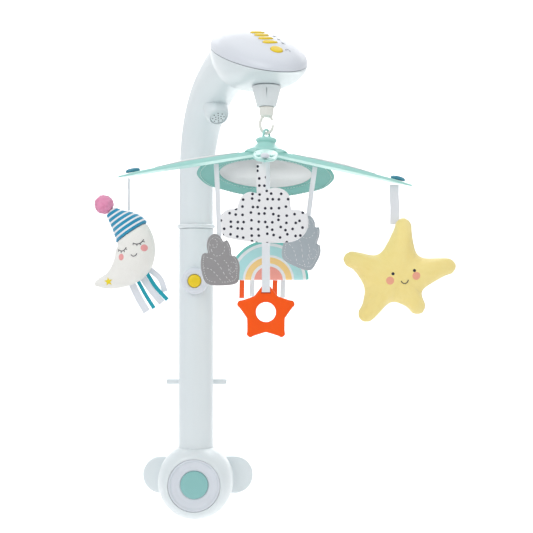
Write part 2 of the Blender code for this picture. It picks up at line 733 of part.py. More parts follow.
def petal_outline(grow=0.0):
    """A leaf-shaped key, rounded at one end and pointed at the other."""
    made = []
    for k in range(16):
        turn = 2 * pi * k / 16
        taper = 1 - 0.35 * cos(turn)
        made.append(((PETAL_WIDTH / 2 * taper + grow) * sin(turn),
                     (PETAL_LENGTH / 2 + grow) * cos(turn)))
    return made


def key_solid(outline, along, low, high):
    """A key's plunger, upright on the seam plane; its crown is slightly smaller."""
    rings = []
    for scale, height in ((1, low), (1, high - 0.7 * MM), (0.88, high)):
        rings.append([head_point(along + x * scale, y * scale, height) for x, y in outline])
    return loft(rings)


def build_buttons(lid):
    circle = [(POWER_R * cos(2 * pi * k / 20), POWER_R * sin(2 * pi * k / 20)) for k in range(20)]
    wide = [(x * 1.05, y * 1.05) for x, y in circle]
    foot = BOARD_HEIGHT + 1.6 * MM + 1.6 * MM
    keys = [("power_button", POWER_AT, circle, wide)]
    for number, along in enumerate(PETAL_AT, 1):
        keys.append((f"petal_button_{number}", along, petal_outline(),
                     petal_outline(0.35 * MM)))
    for name, along, outline, opening in keys:
        top = lid_height(along, 0) + BUTTON_PROUD
        add_object(name, *key_solid(outline, along, foot, top), "yellow", BODIES[name])
        hole = add_object(name + "_hole", *key_solid(opening, along, 2 * MM, 40 * MM), None,
                          BODIES["arm"])
        boolean(lid, hole)


def build_inside(holder):
    corners, faces = box((-24 * MM, -24 * MM, BOARD_HEIGHT), (62 * MM, 24 * MM,
                                                               BOARD_HEIGHT + 1.6 * MM))
    corners = [(x, y * (1 - max(x - 30 * MM, 0) * 14), z) for x, y, z in corners]
    add_object("circuit_board", [head_point(*c) for c in corners], faces, "board", holder)
    axis = head_normal()
    add_object("speaker", *lathe(
        [(0, -16 * MM), (8 * MM, -16 * MM), (8 * MM, -11 * MM), (11 * MM, -11 * MM),
         (15 * MM, -5 * MM), (16 * MM, -5 * MM), (16 * MM, -3.5 * MM), (14 * MM, -3.5 * MM),
         (5 * MM, -7 * MM), (0, -7.5 * MM)], head_point(-40 * MM, 0), axis, 20, closed=False),
        "inner", holder)
    motor = arm_point(MOTOR_REACH, 0)
    add_object("motor", *lathe(
        [(0, 397 * MM), (9.5 * MM, 397 * MM), (10 * MM, 396 * MM), (10 * MM, 381 * MM),
         (1 * MM, 381 * MM), (1 * MM, GEAR_HIGH[0]), (0, GEAR_HIGH[0])], motor,
        segments=20, closed=False), "steel", holder)
    build_gear_plate(holder)


def build_gear_plate(holder):
    """The bracket over the gears: the motor stands on it and the idler's pin hangs from it."""
    low, high = 378.4 * MM, 380.6 * MM
    centre = arm_point((MOTOR_REACH + IDLER_REACH) / 2, (low + high) / 2)
    outline = []
    for k in range(20):
        turn = 2 * pi * (k + 0.5) / 20
        shift = 8.5 * MM if cos(turn) > 0 else -8.5 * MM
        outline.append((shift + 12 * MM * cos(turn), 15 * MM * sin(turn)))
    plate = add_object("gearbox_plate", *slab(outline, centre, ARM_DIR, SIDE_DIR, high - low),
                       "inner", holder)
    pin = add_object("idler_pin", *lathe(
        [(0, GEAR_LOW[0]), (1.5 * MM, GEAR_LOW[0]), (1.5 * MM, 379.5 * MM), (0, 379.5 * MM)],
        arm_point(IDLER_REACH, 0), segments=12, closed=False), None, holder)
    hole = add_object("motor_hole", *lathe(
        [(0, 370 * MM), (2.5 * MM, 370 * MM), (2.5 * MM, 385 * MM), (0, 385 * MM)],
        arm_point(MOTOR_REACH, 0), segments=12, closed=False), None, holder)
    boolean(plate, pin, "UNION")
    boolean(plate, hole)


# ---- drive ------------------------------------------------------------------------------
def gear_outline(teeth, turn, backlash=0.28 * MM):
    """An involute gear outline with one tooth centred on the angle turn."""
    pitch = MODULE * teeth / 2
    base = pitch * cos(PRESSURE_ANGLE)
    tip = pitch + 0.85 * MODULE
    root = pitch - 1.15 * MODULE
    involute = tan(PRESSURE_ANGLE) - PRESSURE_ANGLE
    half = pi / (2 * teeth) - backlash / 2 / pitch + involute
    at_tip = sqrt((tip / base) ** 2 - 1)
    flank = [(root, half + 0.012), (tip, half - (at_tip - atan2(at_tip, 1)))]
    made = []
    for k in range(teeth):
        centre = turn + 2 * pi * k / teeth
        for radius, angle in flank:
            made.append((radius * cos(centre - angle), radius * sin(centre - angle)))
        for radius, angle in reversed(flank):
            made.append((radius * cos(centre + angle), radius * sin(centre + angle)))
    return made


def gear_solid(teeth, turn, reach, low, high):
    """A solid spur gear standing on the arm's plan frame."""
    outline = gear_outline(teeth, turn)
    return loft([[arm_point(reach + x, z, y) for x, y in outline] for z in (low, high)])


def build_drive():
    out = BODIES["output"]
    toward_post = pi
    gear = add_object("output_gear", *gear_solid(OUTPUT_TEETH, toward_post, REACH, *GEAR_LOW),
                      "gear", out)
    shaft = add_object("output_shaft", *lathe(
        [(0, 334 * MM), (SHAFT_R, 334 * MM), (SHAFT_R, 363 * MM), (7 * MM, 363 * MM),
         (7 * MM, 369 * MM), (0, 369 * MM)], HUB_AXIS, segments=16, closed=False), None, out)
    boolean(gear, shaft, "UNION")
    idler = add_object("idler_gear", *gear_solid(IDLER_SMALL, pi / IDLER_SMALL, IDLER_REACH,
                                                 GEAR_LOW[0], GEAR_HIGH[0] + 0.5 * MM),
                       "gear", BODIES["idler"])
    big = add_object("idler_wheel", *gear_solid(IDLER_BIG, pi, IDLER_REACH,
                                                GEAR_LOW[1] + 0.4 * MM, GEAR_HIGH[1]), None,
                     BODIES["idler"])
    bore = add_object("idler_bore", *lathe(
        [(0, 360 * MM), (1.8 * MM, 360 * MM), (1.8 * MM, 385 * MM), (0, 385 * MM)],
        arm_point(IDLER_REACH, 0), segments=12, closed=False), None, BODIES["idler"])
    boolean(idler, big, "UNION")
    boolean(idler, bore)
    pinion = add_object("motor_pinion", *gear_solid(PINION_TEETH, pi / PINION_TEETH, MOTOR_REACH,
                                                    GEAR_HIGH[0], GEAR_HIGH[1]),
                        "gear", BODIES["pinion"])
    eye = add_object("pinion_bore", *lathe(
        [(0, 365 * MM), (1.3 * MM, 365 * MM), (1.3 * MM, 385 * MM), (0, 385 * MM)],
        arm_point(MOTOR_REACH, 0), segments=10, closed=False), None, BODIES["pinion"])
    boolean(pinion, eye)
    build_spindle(out)


def build_spindle(holder):
    add_object("spindle_cup", *lathe(
        [(SHAFT_R + GAP, 330.6 * MM), (10.4 * MM, 330.6 * MM), (16.2 * MM, 352.2 * MM),
         (15.2 * MM, 353.2 * MM), (13.5 * MM, 353.2 * MM), (8.5 * MM, 338 * MM),
         (SHAFT_R + GAP, 338 * MM)], HUB_AXIS), "lid", holder)
    stem = add_object("hook", *lathe(
        [(0, 319.5 * MM), (5.5 * MM, 319.5 * MM), (7.2 * MM, 321.5 * MM), (8.1 * MM, 330.3 * MM),
         (0, 330.3 * MM)], HUB_AXIS, segments=20, closed=False), "cream", holder)
    centre = HUB_AXIS + UP * (PIVOT_Z + 10 * MM)
    path = []
    for k in range(23):
        turn = radians(25 + 330 * k / 22)
        path.append(centre + Vector((7 * MM * cos(turn), 0, 10 * MM * sin(turn))))
    ring = add_object("hook_ring", *tube(path, 1.8 * MM), None, holder)
    boolean(stem, ring, "UNION")


# ---- canopy -----------------------------------------------------------------------------
def canopy_world(x, y, z):
    return BODIES["canopy"].matrix_world @ Vector((x, y, z))


def leaf_bottom(radius):
    return EDGE_Z - EDGE_SLOPE * radius


def leaf_section(radius):
    """Half width and thickness of a leaf arm at a distance from the hub."""
    t = radius / TIP_R
    width = 9 * MM + 3.5 * MM * sin(pi * min(t * 1.15, 1)) if t < 0.87 else 9 * MM * (1 - t) / 0.13
    thick = 4.6 * MM if t < 0.55 else 4.6 * MM - 2.6 * MM * (t - 0.55) / 0.45
    return max(width, 1.4 * MM), thick


def leaf_rings(turn, stations, low_lift, top_lift, inset):
    """Cross-sections of a leaf arm (or of a panel on it) that points along turn."""
    out, side = Vector((cos(turn), sin(turn), 0)), Vector((-sin(turn), cos(turn), 0))
    rings = []
    for radius, crown in stations:
        width, thick = leaf_section(radius)
        width = max(width - inset, 1 * MM)
        base = leaf_bottom(radius)
        low, high = base + low_lift(thick), base + top_lift(thick, crown)
        edge = min(1.4 * MM, width / 3)
        shape = ((-width, low), (width, low), (width, high - (high - low) * 0.3),
                 (width - edge, high), (-width + edge, high), (-width, high - (high - low) * 0.3))
        rings.append([out * radius + side * y + UP * z for y, z in shape])
    return rings


def build_canopy():
    holder = BODIES["canopy"]
    frame = add_object("canopy_frame", *lathe(
        [(0, EDGE_Z), (20 * MM, EDGE_Z), (24 * MM, EDGE_Z + 1.6 * MM), (20.3 * MM, -18.4 * MM),
         (13.6 * MM, -15.3 * MM), (9.8 * MM, HUB_TOP), (11.6 * MM, -8 * MM),
         (11.2 * MM, -6 * MM), (8.2 * MM, -4.6 * MM), (0, -3.9 * MM)],
        Vector(), closed=False), "teal", holder, local=True)
    leaves = ((0, "right"), (pi, "left"), (-pi / 2, "front"))
    radii = (6, 20, 45, 70, 95, 115, 132, 146, 155, 161)
    for turn, name in leaves:
        rings = leaf_rings(turn, [(r * MM, 0) for r in radii], lambda thick: 0.0,
                           lambda thick, crown: thick, 0)
        leaf = add_object("leaf_" + name, *loft(rings), None, holder, local=True)
        boolean(frame, leaf, "UNION")
    tongue = add_object("mirror_tongue", *box((-11 * MM, 4 * MM, -20.5 * MM),
                                              (11 * MM, 33 * MM, -18.1 * MM)), None, holder,
                        local=True)
    boolean(frame, tongue, "UNION")
    eye_turn = radians(60)
    flat = Vector((cos(eye_turn), sin(eye_turn), 0))
    loop = []
    for k in range(16):
        turn = 2 * pi * k / 16
        loop.append(UP * (-2.4 * MM) + (flat * cos(turn) + UP * sin(turn)) * (6.5 * MM))
    eye = add_object("hub_eye", *tube(loop, 1.5 * MM, 8, close=True), None, holder, local=True)
    boolean(frame, eye, "UNION")
    for turn, name in leaves:
        stations = [(29, 0.8), (45, 2.4), (70, 3.2), (92, 2.6), (108, 1.6), (120, 0.8)]
        rings = leaf_rings(turn, [(r * MM, c * MM) for r, c in stations],
                           lambda thick: thick + GAP, lambda thick, crown: thick + GAP + crown,
                           3 * MM)
        add_object("leaf_panel_" + name, *loft(rings), "panel", holder, local=True)
    build_knobs(holder, leaves)
    build_mirror(holder)


def build_knobs(holder, leaves):
    """Oval toggles on top of the leaves that hold the ribbons' ends."""
    for turn, name in leaves:
        out, side = Vector((cos(turn), sin(turn), 0)), Vector((-sin(turn), cos(turn), 0))
        _, thick = leaf_section(KNOB_R)
        rings = []
        for scale, height in ((0.8, 0), (1, 1.4), (0.95, 3), (0.6, 4.2)):
            ring = []
            for k in range(14):
                a = 2 * pi * k / 14
                along = KNOB_R + 8 * MM * scale * cos(a)
                rise = leaf_bottom(along) + thick + 1.2 * MM + height * MM
                ring.append(out * along + side * (4.3 * MM * scale * sin(a)) + UP * rise)
            rings.append(ring)
        look = "lid" if name == "front" else "knob"
        add_object("ribbon_knob_" + name, *loft(rings), look, holder, local=True)


def mirror_point(out, turn, height=0.0, droop=0.0):
    """A point on the mirror's tilted plane, out from its middle."""
    x, y = out * cos(turn), MIRROR_CENTRE + out * sin(turn)
    normal = Vector((0, sin(MIRROR_SLOPE), cos(MIRROR_SLOPE)))
    level = MIRROR_DROP - y * tan(MIRROR_SLOPE)
    return Vector((x, y, level)) + normal * (height - droop)


def build_mirror(holder):
    def ring(out, height):
        droop = max(out - MIRROR_R, 0) * RIM_DROOP
        return [mirror_point(out, 2 * pi * k / 28, height, droop) for k in range(28)]

    inner = MIRROR_R + GAP
    rim = add_object("mirror_rim", *closed_loft(
        [ring(inner, -1 * MM), ring(68 * MM, -1.1 * MM), ring(RIM_R - 0.8 * MM, -1 * MM),
         ring(RIM_R, 0), ring(RIM_R - 0.8 * MM, 1 * MM), ring(68 * MM, 1.1 * MM),
         ring(inner, 1 * MM)]), "rim", holder, local=True)
    strip = add_object("leaf_notch", *box((-0.06, -0.01, -0.04), (0.06, 18.8 * MM, 0.01)), None,
                       holder, local=True)
    boolean(rim, strip)
    notch = lathe([(0, -0.04), (24.8 * MM, -0.04), (24.8 * MM, 0.01), (0, 0.01)], Vector(),
                  closed=False)
    boolean(rim, add_object("hub_notch", *notch, None, holder, local=True))
    low, high = ring(MIRROR_R, -0.8 * MM), ring(MIRROR_R, 0.8 * MM)
    add_object("mirror", *loft([low, high]), "mirror", holder, local=True)


# ---- toys -------------------------------------------------------------------------------
def ribbon(name, top, bottom, width, holder, look="ribbon"):
    """A flat tape that hangs from top to bottom, its width along X."""
    half, deep = width / 2, RIBBON_THICK / 2
    rings = []
    for at in (top, bottom):
        rings.append([at + Vector((x, y, 0)) for x, y in
                      ((-half, -deep), (half, -deep), (half, deep), (-half, deep))])
    return add_object(name, *loft(rings), look, holder)


def toy_origin(name):
    return BODIES[name].matrix_world.translation


def hub_point(x, y, z):
    """A world point placed from the hub's axis."""
    return HUB_AXIS + Vector((x, y, z))


MOON_SPINE = ((-92, 137.5, 2.5), (-82, 140.5, 8.5), (-66, 147, 15.5), (-53, 160, 20),
              (-48, 177, 20.8), (-51, 193, 19.5))
HAT_SPINE = ((-58.5, 202, 16.2), (-67, 209.5, 10.8), (-74, 216.5, 6.6), (-76.4, 218.9, 7.4),
             (-78.6, 221, 10.2), (-81.5, 224, 10.8), (-84.3, 226.8, 9.0), (-87.2, 229.7, 4.0))
BRIM_POINT = (-50.2, 193.2)     # a point of the hat's brim and the slope of the brim
BRIM_TURN = radians(34.4)
TASSEL_BAND = ((-59, 129, 1.4), (-51, 132.5, 1.6), (-43, 138, 1.6), (-36.5, 144, 1.4))


def round_sweep(spine, steps, flat, sides=14):
    """Elliptical sections along (x, z, half width) points in the XZ plane."""
    run = catmull(spine, steps)
    across = Vector((0, 1, 0))
    rings = []
    for k, (x, z, half) in enumerate(run):
        before, after = run[max(k - 1, 0)], run[min(k + 1, len(run) - 1)]
        tangent = Vector((after[0] - before[0], 0, after[1] - before[1])).normalized()
        normal = across.cross(tangent)
        centre = hub_point(0, 0, 0) + Vector((x - 96, 0, z)) * MM
        rings.append([centre + (normal * cos(2 * pi * j / sides) * half
                                + across * sin(2 * pi * j / sides) * half * flat) * MM
                      for j in range(sides)])
    return loft(rings)


def brim_block(name, low, high):
    """Everything between two distances from the brim's plane, measured towards the hat."""
    across = Vector((cos(BRIM_TURN), 0, sin(BRIM_TURN)))
    toward = Vector((-sin(BRIM_TURN), 0, cos(BRIM_TURN)))
    middle = HUB_AXIS + Vector((BRIM_POINT[0] - 96, 0, BRIM_POINT[1])) * MM
    corners, faces = box((-60 * MM, -60 * MM, low), (60 * MM, 60 * MM, high))
    return add_object(name, [middle + across * x + Vector((0, y, 0)) + toward * z
                             for x, y, z in corners], faces, None, BODIES["moon"])


def build_moon():
    holder = BODIES["moon"]
    top = toy_origin("moon")
    plush = add_object("moon_plush", *round_sweep(MOON_SPINE + HAT_SPINE[:2], 2, 0.9, 12),
                       "moon", holder)
    boolean(plush, brim_block("above_brim", GAP / 2 * -1, 60 * MM))
    hat = add_object("moon_hat", *round_sweep(MOON_SPINE[4:] + HAT_SPINE, 2, 0.9, 12), "hat",
                     holder)
    boolean(hat, brim_block("below_brim", -60 * MM, GAP / 2))
    foot = Vector((top.x, top.y, 219.5 * MM))
    ribbon("moon_ribbon", top - UP * TOP_GAP, foot, 5 * MM, holder)
    band = round_sweep(TASSEL_BAND, 2, 0.4, 8)
    made = add_object("moon_tassels", *band, "ribbon", holder)
    number = 0
    for start, end in (((-56.5, 130.5), (-36, 104)), ((-49.5, 133.5), (-28, 109)),
                       ((-43.5, 137.5), (-19, 115)), ((-38.5, 142.5), (-10, 121.5))):
        a = hub_point(0, 0, 0) + Vector((start[0] - 96, 0, start[1])) * MM
        b = hub_point(0, 0, 0) + Vector((end[0] - 96, 0, end[1])) * MM
        number += 1
        strip = add_object(f"moon_strip_{number}", *tassel(a, b, 5.5 * MM), None, holder)
        boolean(made, strip, "UNION")


def tassel(a, b, width):
    """A short strip of tape from a to b, flat in the XZ plane."""
    along = (b - a).normalized()
    side = along.cross(Vector((0, 1, 0)))
    deep = Vector((0, RIBBON_THICK / 2, 0))
    rings = []
    for at in (a, b):
        rings.append([at + side * (width / 2) + deep, at + side * (width / 2) - deep,
                      at - side * (width / 2) - deep, at - side * (width / 2) + deep])
    return loft(rings)


def build_star():
    holder = BODIES["star"]
    top = toy_origin("star")
    centre = Vector((top.x + 3 * MM, top.y, STAR_Z))
    outline = star_outline(STAR_R, STAR_VALLEY, radians(80), 30)
    add_object("star_plush", *pillow(outline, centre, Vector((1, 0, 0)), UP, 19 * MM),
               "star", holder)
    tape = ribbon("star_ribbon", top - UP * TOP_GAP, Vector((top.x, top.y, STAR_Z + 42 * MM)),
                  10.5 * MM, holder)
    roomy = pillow(outline, centre, Vector((1, 0, 0)) * 1.012, UP * 1.012, 19.4 * MM)
    boolean(tape, add_object("star_clearance", *roomy, None, holder))


DOTTED_EDGE = ((-27.1, -22.3), (-15.3, -24.3), (3, -25.8), (24.9, -25.6), (35.8, -21.9),
               (42.2, -15), (44.2, -5.5), (41.3, 1.8), (34.9, 5.1), (28.2, 5.8), (27.1, 16),
               (22.1, 22.8), (13, 25.5), (3, 22.8), (-1, 18.2), (-4.7, 20.4), (-12, 21.3),
               (-18.9, 16.7), (-22, 9.1), (-23.5, 6.2), (-31.7, 5.1), (-37.2, -0.1), (-37.5, -9.2),
               (-35.3, -19.2))
GREY_EDGE = ((2.1, -28.8), (18, -26), (20.9, -14.8), (20.5, -4.2), (16.5, 3.2), (12.7, 4.2),
             (11.2, 13.7), (7.4, 20.7), (3.4, 19.5), (0, 24.7), (-6.3, 27.9), (-12.7, 23.3),
             (-14.8, 14.8), (-13.7, 7), (-17.8, 6.6), (-20.7, 2.1), (-20.7, -11.6), (-14.8, -26.4))


def build_flat_cloud(name, ribbon_name, edge, centre, width, turn=0.0):
    holder = BODIES[name]
    top = toy_origin(name)
    outline = [(x * cos(turn) - y * sin(turn), x * sin(turn) + y * cos(turn))
               for x, y in closed_curve([(x * MM, y * MM) for x, y in edge], 2)]
    look = "cloud" if name == "dotted_cloud" else "grey"
    add_object(name, *slab(outline, centre, Vector((1, 0, 0)), UP, 5 * MM, 0.04), look, holder)
    lean = (centre.x - top.x) / (centre.z - top.z)
    angle = atan2(1, lean * -1)
    reach = max(abs(y) for x, y in outline if abs(degrees(atan2(y, x) - angle)) < 16)
    foot = centre.z + reach + 0.8 * MM
    bottom = Vector((top.x + lean * (foot - top.z), top.y, foot))
    ribbon(ribbon_name, top - UP * TOP_GAP, bottom, width, holder)


def build_rainbow():
    holder = BODIES["rainbow"]
    top = toy_origin("rainbow")
    centre = Vector((top.x + 4 * MM, top.y, RAINBOW_BASE))
    outline = [(RAINBOW_R * cos(pi * k / 22), RAINBOW_R * sin(pi * k / 22)) for k in range(23)]
    middle = RAINBOW_R * 0.42
    shifted = [(x, y - middle) for x, y in outline]
    for k in range(1, 6):
        shifted.append((-RAINBOW_R + 2 * RAINBOW_R * k / 6, -middle))
    add_object("rainbow_cushion", *pillow(shifted, centre + UP * middle, Vector((1, 0, 0)), UP,
                                          7 * MM), "rainbow", holder)
    ribbon("rainbow_ribbon", top - UP * TOP_GAP, Vector((top.x, top.y, centre.z + RAINBOW_R
                                                     + 0.6 * MM)), 9 * MM, holder)
    low = centre - UP * (GAP + 0.2 * MM)
    made = add_object("rainbow_tassels", *slab(((-0.038, -0.002), (0.023, -0.002), (0.023, 0),
                                                (-0.038, 0)), low, Vector((1, 0, 0)), UP,
                                               2 * MM), "orange", holder)
    for x in (-33.7, -20.6, 8.4, 18.4):
        a = low + Vector((x * MM, 0, -1 * MM))
        strip = add_object(f"rainbow_strip_{x}", *tassel(a, a - UP * (22 * MM), 6.3 * MM), None,
                           holder)
        boolean(made, strip, "UNION")


def build_teether():
    holder = BODIES["teether"]
    top = toy_origin("teether")
    centre = Vector((top.x, top.y, TEETHER_Z))
    outline = star_outline(TEETHER_R, TEETHER_VALLEY, radians(90), 30, 1.2)
    star = add_object("teether_star", *slab(outline, centre, Vector((1, 0, 0)), UP, 11 * MM,
                                            0.06), "orange", holder)
    hole = add_object("teether_hole", *lathe(
        [(0, -20 * MM), (TEETHER_HOLE, -20 * MM), (TEETHER_HOLE, 20 * MM), (0, 20 * MM)],
        centre, Vector((0, 1, 0)), 20, closed=False), None, holder)
    boolean(star, hole)
    ribbon("teether_ribbon", top - UP * TOP_GAP, centre + UP * (TEETHER_R + 0.6 * MM), 8.8 * MM,
           holder)


# ---- assembly ---------------------------------------------------------------------------
def make_bodies():
    """An empty on each joint axis, in the order that the pieces hang on each other."""
    made = {}
    made["rear_jaw"] = empty("joint_rear_jaw", CLAMP_AXIS)
    made["wing_nut"] = empty("joint_wing_nut", CLAMP_AXIS)
    made["release_button"] = empty("joint_release", Vector((0, POST_Y, BUTTON_Z)))
    made["spigot"] = empty("joint_spigot", POST_AXIS)
    made["arm"] = empty("joint_arm", POST_AXIS)
    for name, along in zip(("power_button", "petal_button_1", "petal_button_2",
                            "petal_button_3", "petal_button_4"), (POWER_AT,) + PETAL_AT):
        made[name] = empty("joint_" + name, head_point(along, 0))
    made["output"] = empty("joint_output", HUB_AXIS)
    made["idler"] = empty("joint_idler", arm_point(IDLER_REACH, 0))
    made["pinion"] = empty("joint_pinion", arm_point(MOTOR_REACH, 0))
    made["canopy"] = empty("joint_canopy", HUB_AXIS + UP * PIVOT_Z, roll=CANOPY_ROLL)
    frame = made["canopy"].matrix_world
    spots = {
        "moon": (-KNOB_R - 4 * MM, 0), "star": (KNOB_R - 4 * MM, 0),
        "dotted_cloud": (-3.5 * MM, -KNOB_R), "grey_cloud_left": (-54 * MM, 0),
        "grey_cloud_right": (54 * MM, 0),
    }
    for name, (x, y) in spots.items():
        radius = sqrt(x * x + y * y)
        made[name] = empty("joint_" + name, frame @ Vector((x, y, leaf_bottom(radius))))
    far = mirror_point(RIM_R - 7 * MM, pi / 2, -1.3 * MM, (RIM_R - 7 * MM - MIRROR_R) * RIM_DROOP)
    made["rainbow"] = empty("joint_rainbow", frame @ far)
    made["teether"] = empty("joint_teether", frame @ Vector((0, -6 * MM, EDGE_Z)))
    return made


clear_scene()
LOOKS = make_looks()
BODIES = make_bodies()
build_post()
build_clamp()
build_rail_rest()
build_release()
build_spigot()
build_arm()
build_head()
build_drive()
build_canopy()
build_moon()
build_star()
cloud_top = toy_origin("dotted_cloud")
build_flat_cloud("dotted_cloud", "dotted_ribbon", DOTTED_EDGE,
                 Vector((cloud_top.x, cloud_top.y, 201 * MM)), 8.5 * MM)
left_top = toy_origin("grey_cloud_left")
build_flat_cloud("grey_cloud_left", "grey_ribbon_left", GREY_EDGE,
                 Vector((left_top.x + 4.5 * MM, left_top.y, 164 * MM)), 5.5 * MM)
right_top = toy_origin("grey_cloud_right")
build_flat_cloud("grey_cloud_right", "grey_ribbon_right", GREY_EDGE,
                 Vector((right_top.x - 10 * MM, right_top.y, 183 * MM)), 5.5 * MM, radians(-25))
build_rainbow()
build_teether()
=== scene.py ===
"""Looks for the crib mobile: smooth mouldings, felt and plush toys, ribbons and a soft studio."""

import json
from math import atan2, cos, pi, radians, sin, sqrt, tan

import bmesh
import bpy
from mathutils import Matrix, Vector, noise
from mathutils.bvhtree import BVHTree


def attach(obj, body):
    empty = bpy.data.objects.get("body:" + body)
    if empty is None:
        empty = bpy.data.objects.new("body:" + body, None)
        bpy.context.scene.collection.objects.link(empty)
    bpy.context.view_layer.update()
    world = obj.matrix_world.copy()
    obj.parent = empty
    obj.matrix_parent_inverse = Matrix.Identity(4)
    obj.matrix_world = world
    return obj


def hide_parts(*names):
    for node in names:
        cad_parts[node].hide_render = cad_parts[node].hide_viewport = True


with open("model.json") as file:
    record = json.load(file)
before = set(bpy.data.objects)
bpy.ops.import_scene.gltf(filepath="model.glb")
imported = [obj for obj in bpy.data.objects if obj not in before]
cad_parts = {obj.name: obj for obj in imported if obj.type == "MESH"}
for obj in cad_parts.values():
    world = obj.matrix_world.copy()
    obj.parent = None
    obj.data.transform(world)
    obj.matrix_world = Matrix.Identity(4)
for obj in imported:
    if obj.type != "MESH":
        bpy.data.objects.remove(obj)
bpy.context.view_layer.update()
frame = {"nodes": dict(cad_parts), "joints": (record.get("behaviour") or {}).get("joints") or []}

MM = 0.001
UP = Vector((0, 0, 1))
RIGHT = Vector((1, 0, 0))
BACK = Vector((0, 1, 0))

# ---- where things are, from the middle of the rail rest's underside ------------------------
POST_Y = -38 * MM
CLAMP_Z = -130 * MM
BUTTON_Z = 0.141
ARM_TURN = radians(21)
REACH = 268 * MM
HEAD_REACH = 240 * MM
HEAD_Z = 396 * MM
HEAD_A = 82 * MM
HEAD_B = 50 * MM
HEAD_FALL = 0.47
HEAD_LEAN = 0.08
LID_HEIGHT = 22 * MM
BOWL_BOTTOM = 353.7 * MM
PIVOT_Z = 301.7 * MM
EYE_TURN = radians(60)
CANOPY_ROLL = radians(1.7)
TIP_R = 161 * MM
KNOB_R = 145 * MM
EDGE_Z = -22.4 * MM
EDGE_SLOPE = 0.193
MIRROR_R = 55 * MM
MIRROR_CENTRE = 92 * MM
MIRROR_SLOPE = radians(10.5)
MIRROR_DROP = -15.9 * MM
RIM_DROOP = 0.13

ARM_DIR = Vector((sin(ARM_TURN), -cos(ARM_TURN), 0))
SIDE_DIR = Vector((cos(ARM_TURN), sin(ARM_TURN), 0))
POST_AXIS = Vector((0, POST_Y, 0))
HUB_AXIS = POST_AXIS + ARM_DIR * REACH
CLAMP_AXIS = Vector((0, POST_Y, CLAMP_Z))
BUTTON_AXIS = Vector((0, POST_Y, BUTTON_Z))
HUB = HUB_AXIS + UP * PIVOT_Z
CANOPY = Matrix.Translation(HUB) @ Matrix.Rotation(CANOPY_ROLL, 4, "Y")


# ---- node materials -----------------------------------------------------------------------
class Look:
    """A node material with short calls for the nodes that the pieces share."""

    def __init__(self, name, roughness=0.5, **sockets):
        self.material = bpy.data.materials.new(name)
        self.material.use_nodes = True
        self.tree = self.material.node_tree
        self.shader = self.tree.nodes["Principled BSDF"]
        self.shader.inputs["Roughness"].default_value = roughness
        for key, value in sockets.items():
            self.shader.inputs[key.replace("_", " ")].default_value = value
        self.place = self.tree.nodes.new("ShaderNodeTexCoord").outputs["Object"]

    def add(self, kind, *inputs, **props):
        made = self.tree.nodes.new("ShaderNode" + kind)
        for key, value in props.items():
            setattr(made, key, value)
        for slot, value in enumerate(inputs):
            self.feed(made.inputs[slot], value)
        return made.outputs[0]

    def feed(self, socket, value):
        if isinstance(value, bpy.types.NodeSocket):
            self.tree.links.new(value, socket)
        elif value is not None:
            socket.default_value = value

    def maths(self, operation, a, b=None, c=None):
        return self.add("Math", a, b, c, operation=operation)

    def axis(self, direction, origin=(0, 0, 0)):
        """Distance along a direction from an origin."""
        shifted = self.add("VectorMath", self.place, tuple(origin), operation="SUBTRACT")
        made = self.tree.nodes.new("ShaderNodeVectorMath")
        made.operation = "DOT_PRODUCT"
        self.feed(made.inputs[0], shifted)
        self.feed(made.inputs[1], tuple(direction))
        return made.outputs["Value"]

    def distance(self, origin, flatten=(1, 1, 1)):
        """Distance from a point, with each axis scaled by flatten."""
        shifted = self.add("VectorMath", self.place, tuple(origin), operation="SUBTRACT")
        scaled = self.add("VectorMath", shifted, tuple(flatten), operation="MULTIPLY")
        made = self.tree.nodes.new("ShaderNodeVectorMath")
        made.operation = "LENGTH"
        self.feed(made.inputs[0], scaled)
        return made.outputs["Value"]

    def noise(self, scale, detail=3.0, rough=0.5):
        made = self.tree.nodes.new("ShaderNodeTexNoise")
        self.feed(made.inputs["Vector"], self.place)
        made.inputs["Scale"].default_value = scale
        made.inputs["Detail"].default_value = detail
        made.inputs["Roughness"].default_value = rough
        return made.outputs["Fac"]

    def spots(self, scale, randomness):
        """Distance to the nearest of one scattered point per square of the X-Z plane."""
        across = self.add("CombineXYZ", self.axis(RIGHT), self.axis(UP))
        made = self.tree.nodes.new("ShaderNodeTexVoronoi")
        made.voronoi_dimensions = "2D"
        self.feed(made.inputs["Vector"], across)
        made.inputs["Scale"].default_value = scale
        made.inputs["Randomness"].default_value = randomness
        return made.outputs["Distance"]

    def wave(self, direction, rate):
        """Fine stripes across a direction, from -1 to 1."""
        return self.maths("SINE", self.maths("MULTIPLY", self.axis(direction), rate))

    def mix(self, factor, a, b):
        made = self.tree.nodes.new("ShaderNodeMix")
        made.data_type = "RGBA"
        self.feed(made.inputs["Factor"], factor)
        self.feed(made.inputs["A"], self.colour(a))
        self.feed(made.inputs["B"], self.colour(b))
        return made.outputs["Result"]

    @staticmethod
    def colour(value):
        return (*value, 1) if isinstance(value, tuple) and len(value) == 3 else value

    def ramp(self, factor, stops, interpolation="CONSTANT"):
        made = self.tree.nodes.new("ShaderNodeValToRGB")
        made.color_ramp.interpolation = interpolation
        points = made.color_ramp.elements
        while len(points) < len(stops):
            points.new(1.0)
        for point, (at, value) in zip(points, stops):
            point.position = at
            point.color = (*value, 1)
        self.feed(made.inputs["Fac"], factor)
        return made.outputs["Color"]

    def paint(self, colour):
        self.feed(self.shader.inputs["Base Color"], self.colour(colour))
        return self

    def rough(self, value):
        self.feed(self.shader.inputs["Roughness"], value)
        return self

    def bump(self, height, strength=0.3, depth=0.0002):
        made = self.tree.nodes.new("ShaderNodeBump")
        made.inputs["Strength"].default_value = strength
        made.inputs["Distance"].default_value = depth
        self.feed(made.inputs["Height"], height)
        self.feed(self.shader.inputs["Normal"], made.outputs["Normal"])
        return self


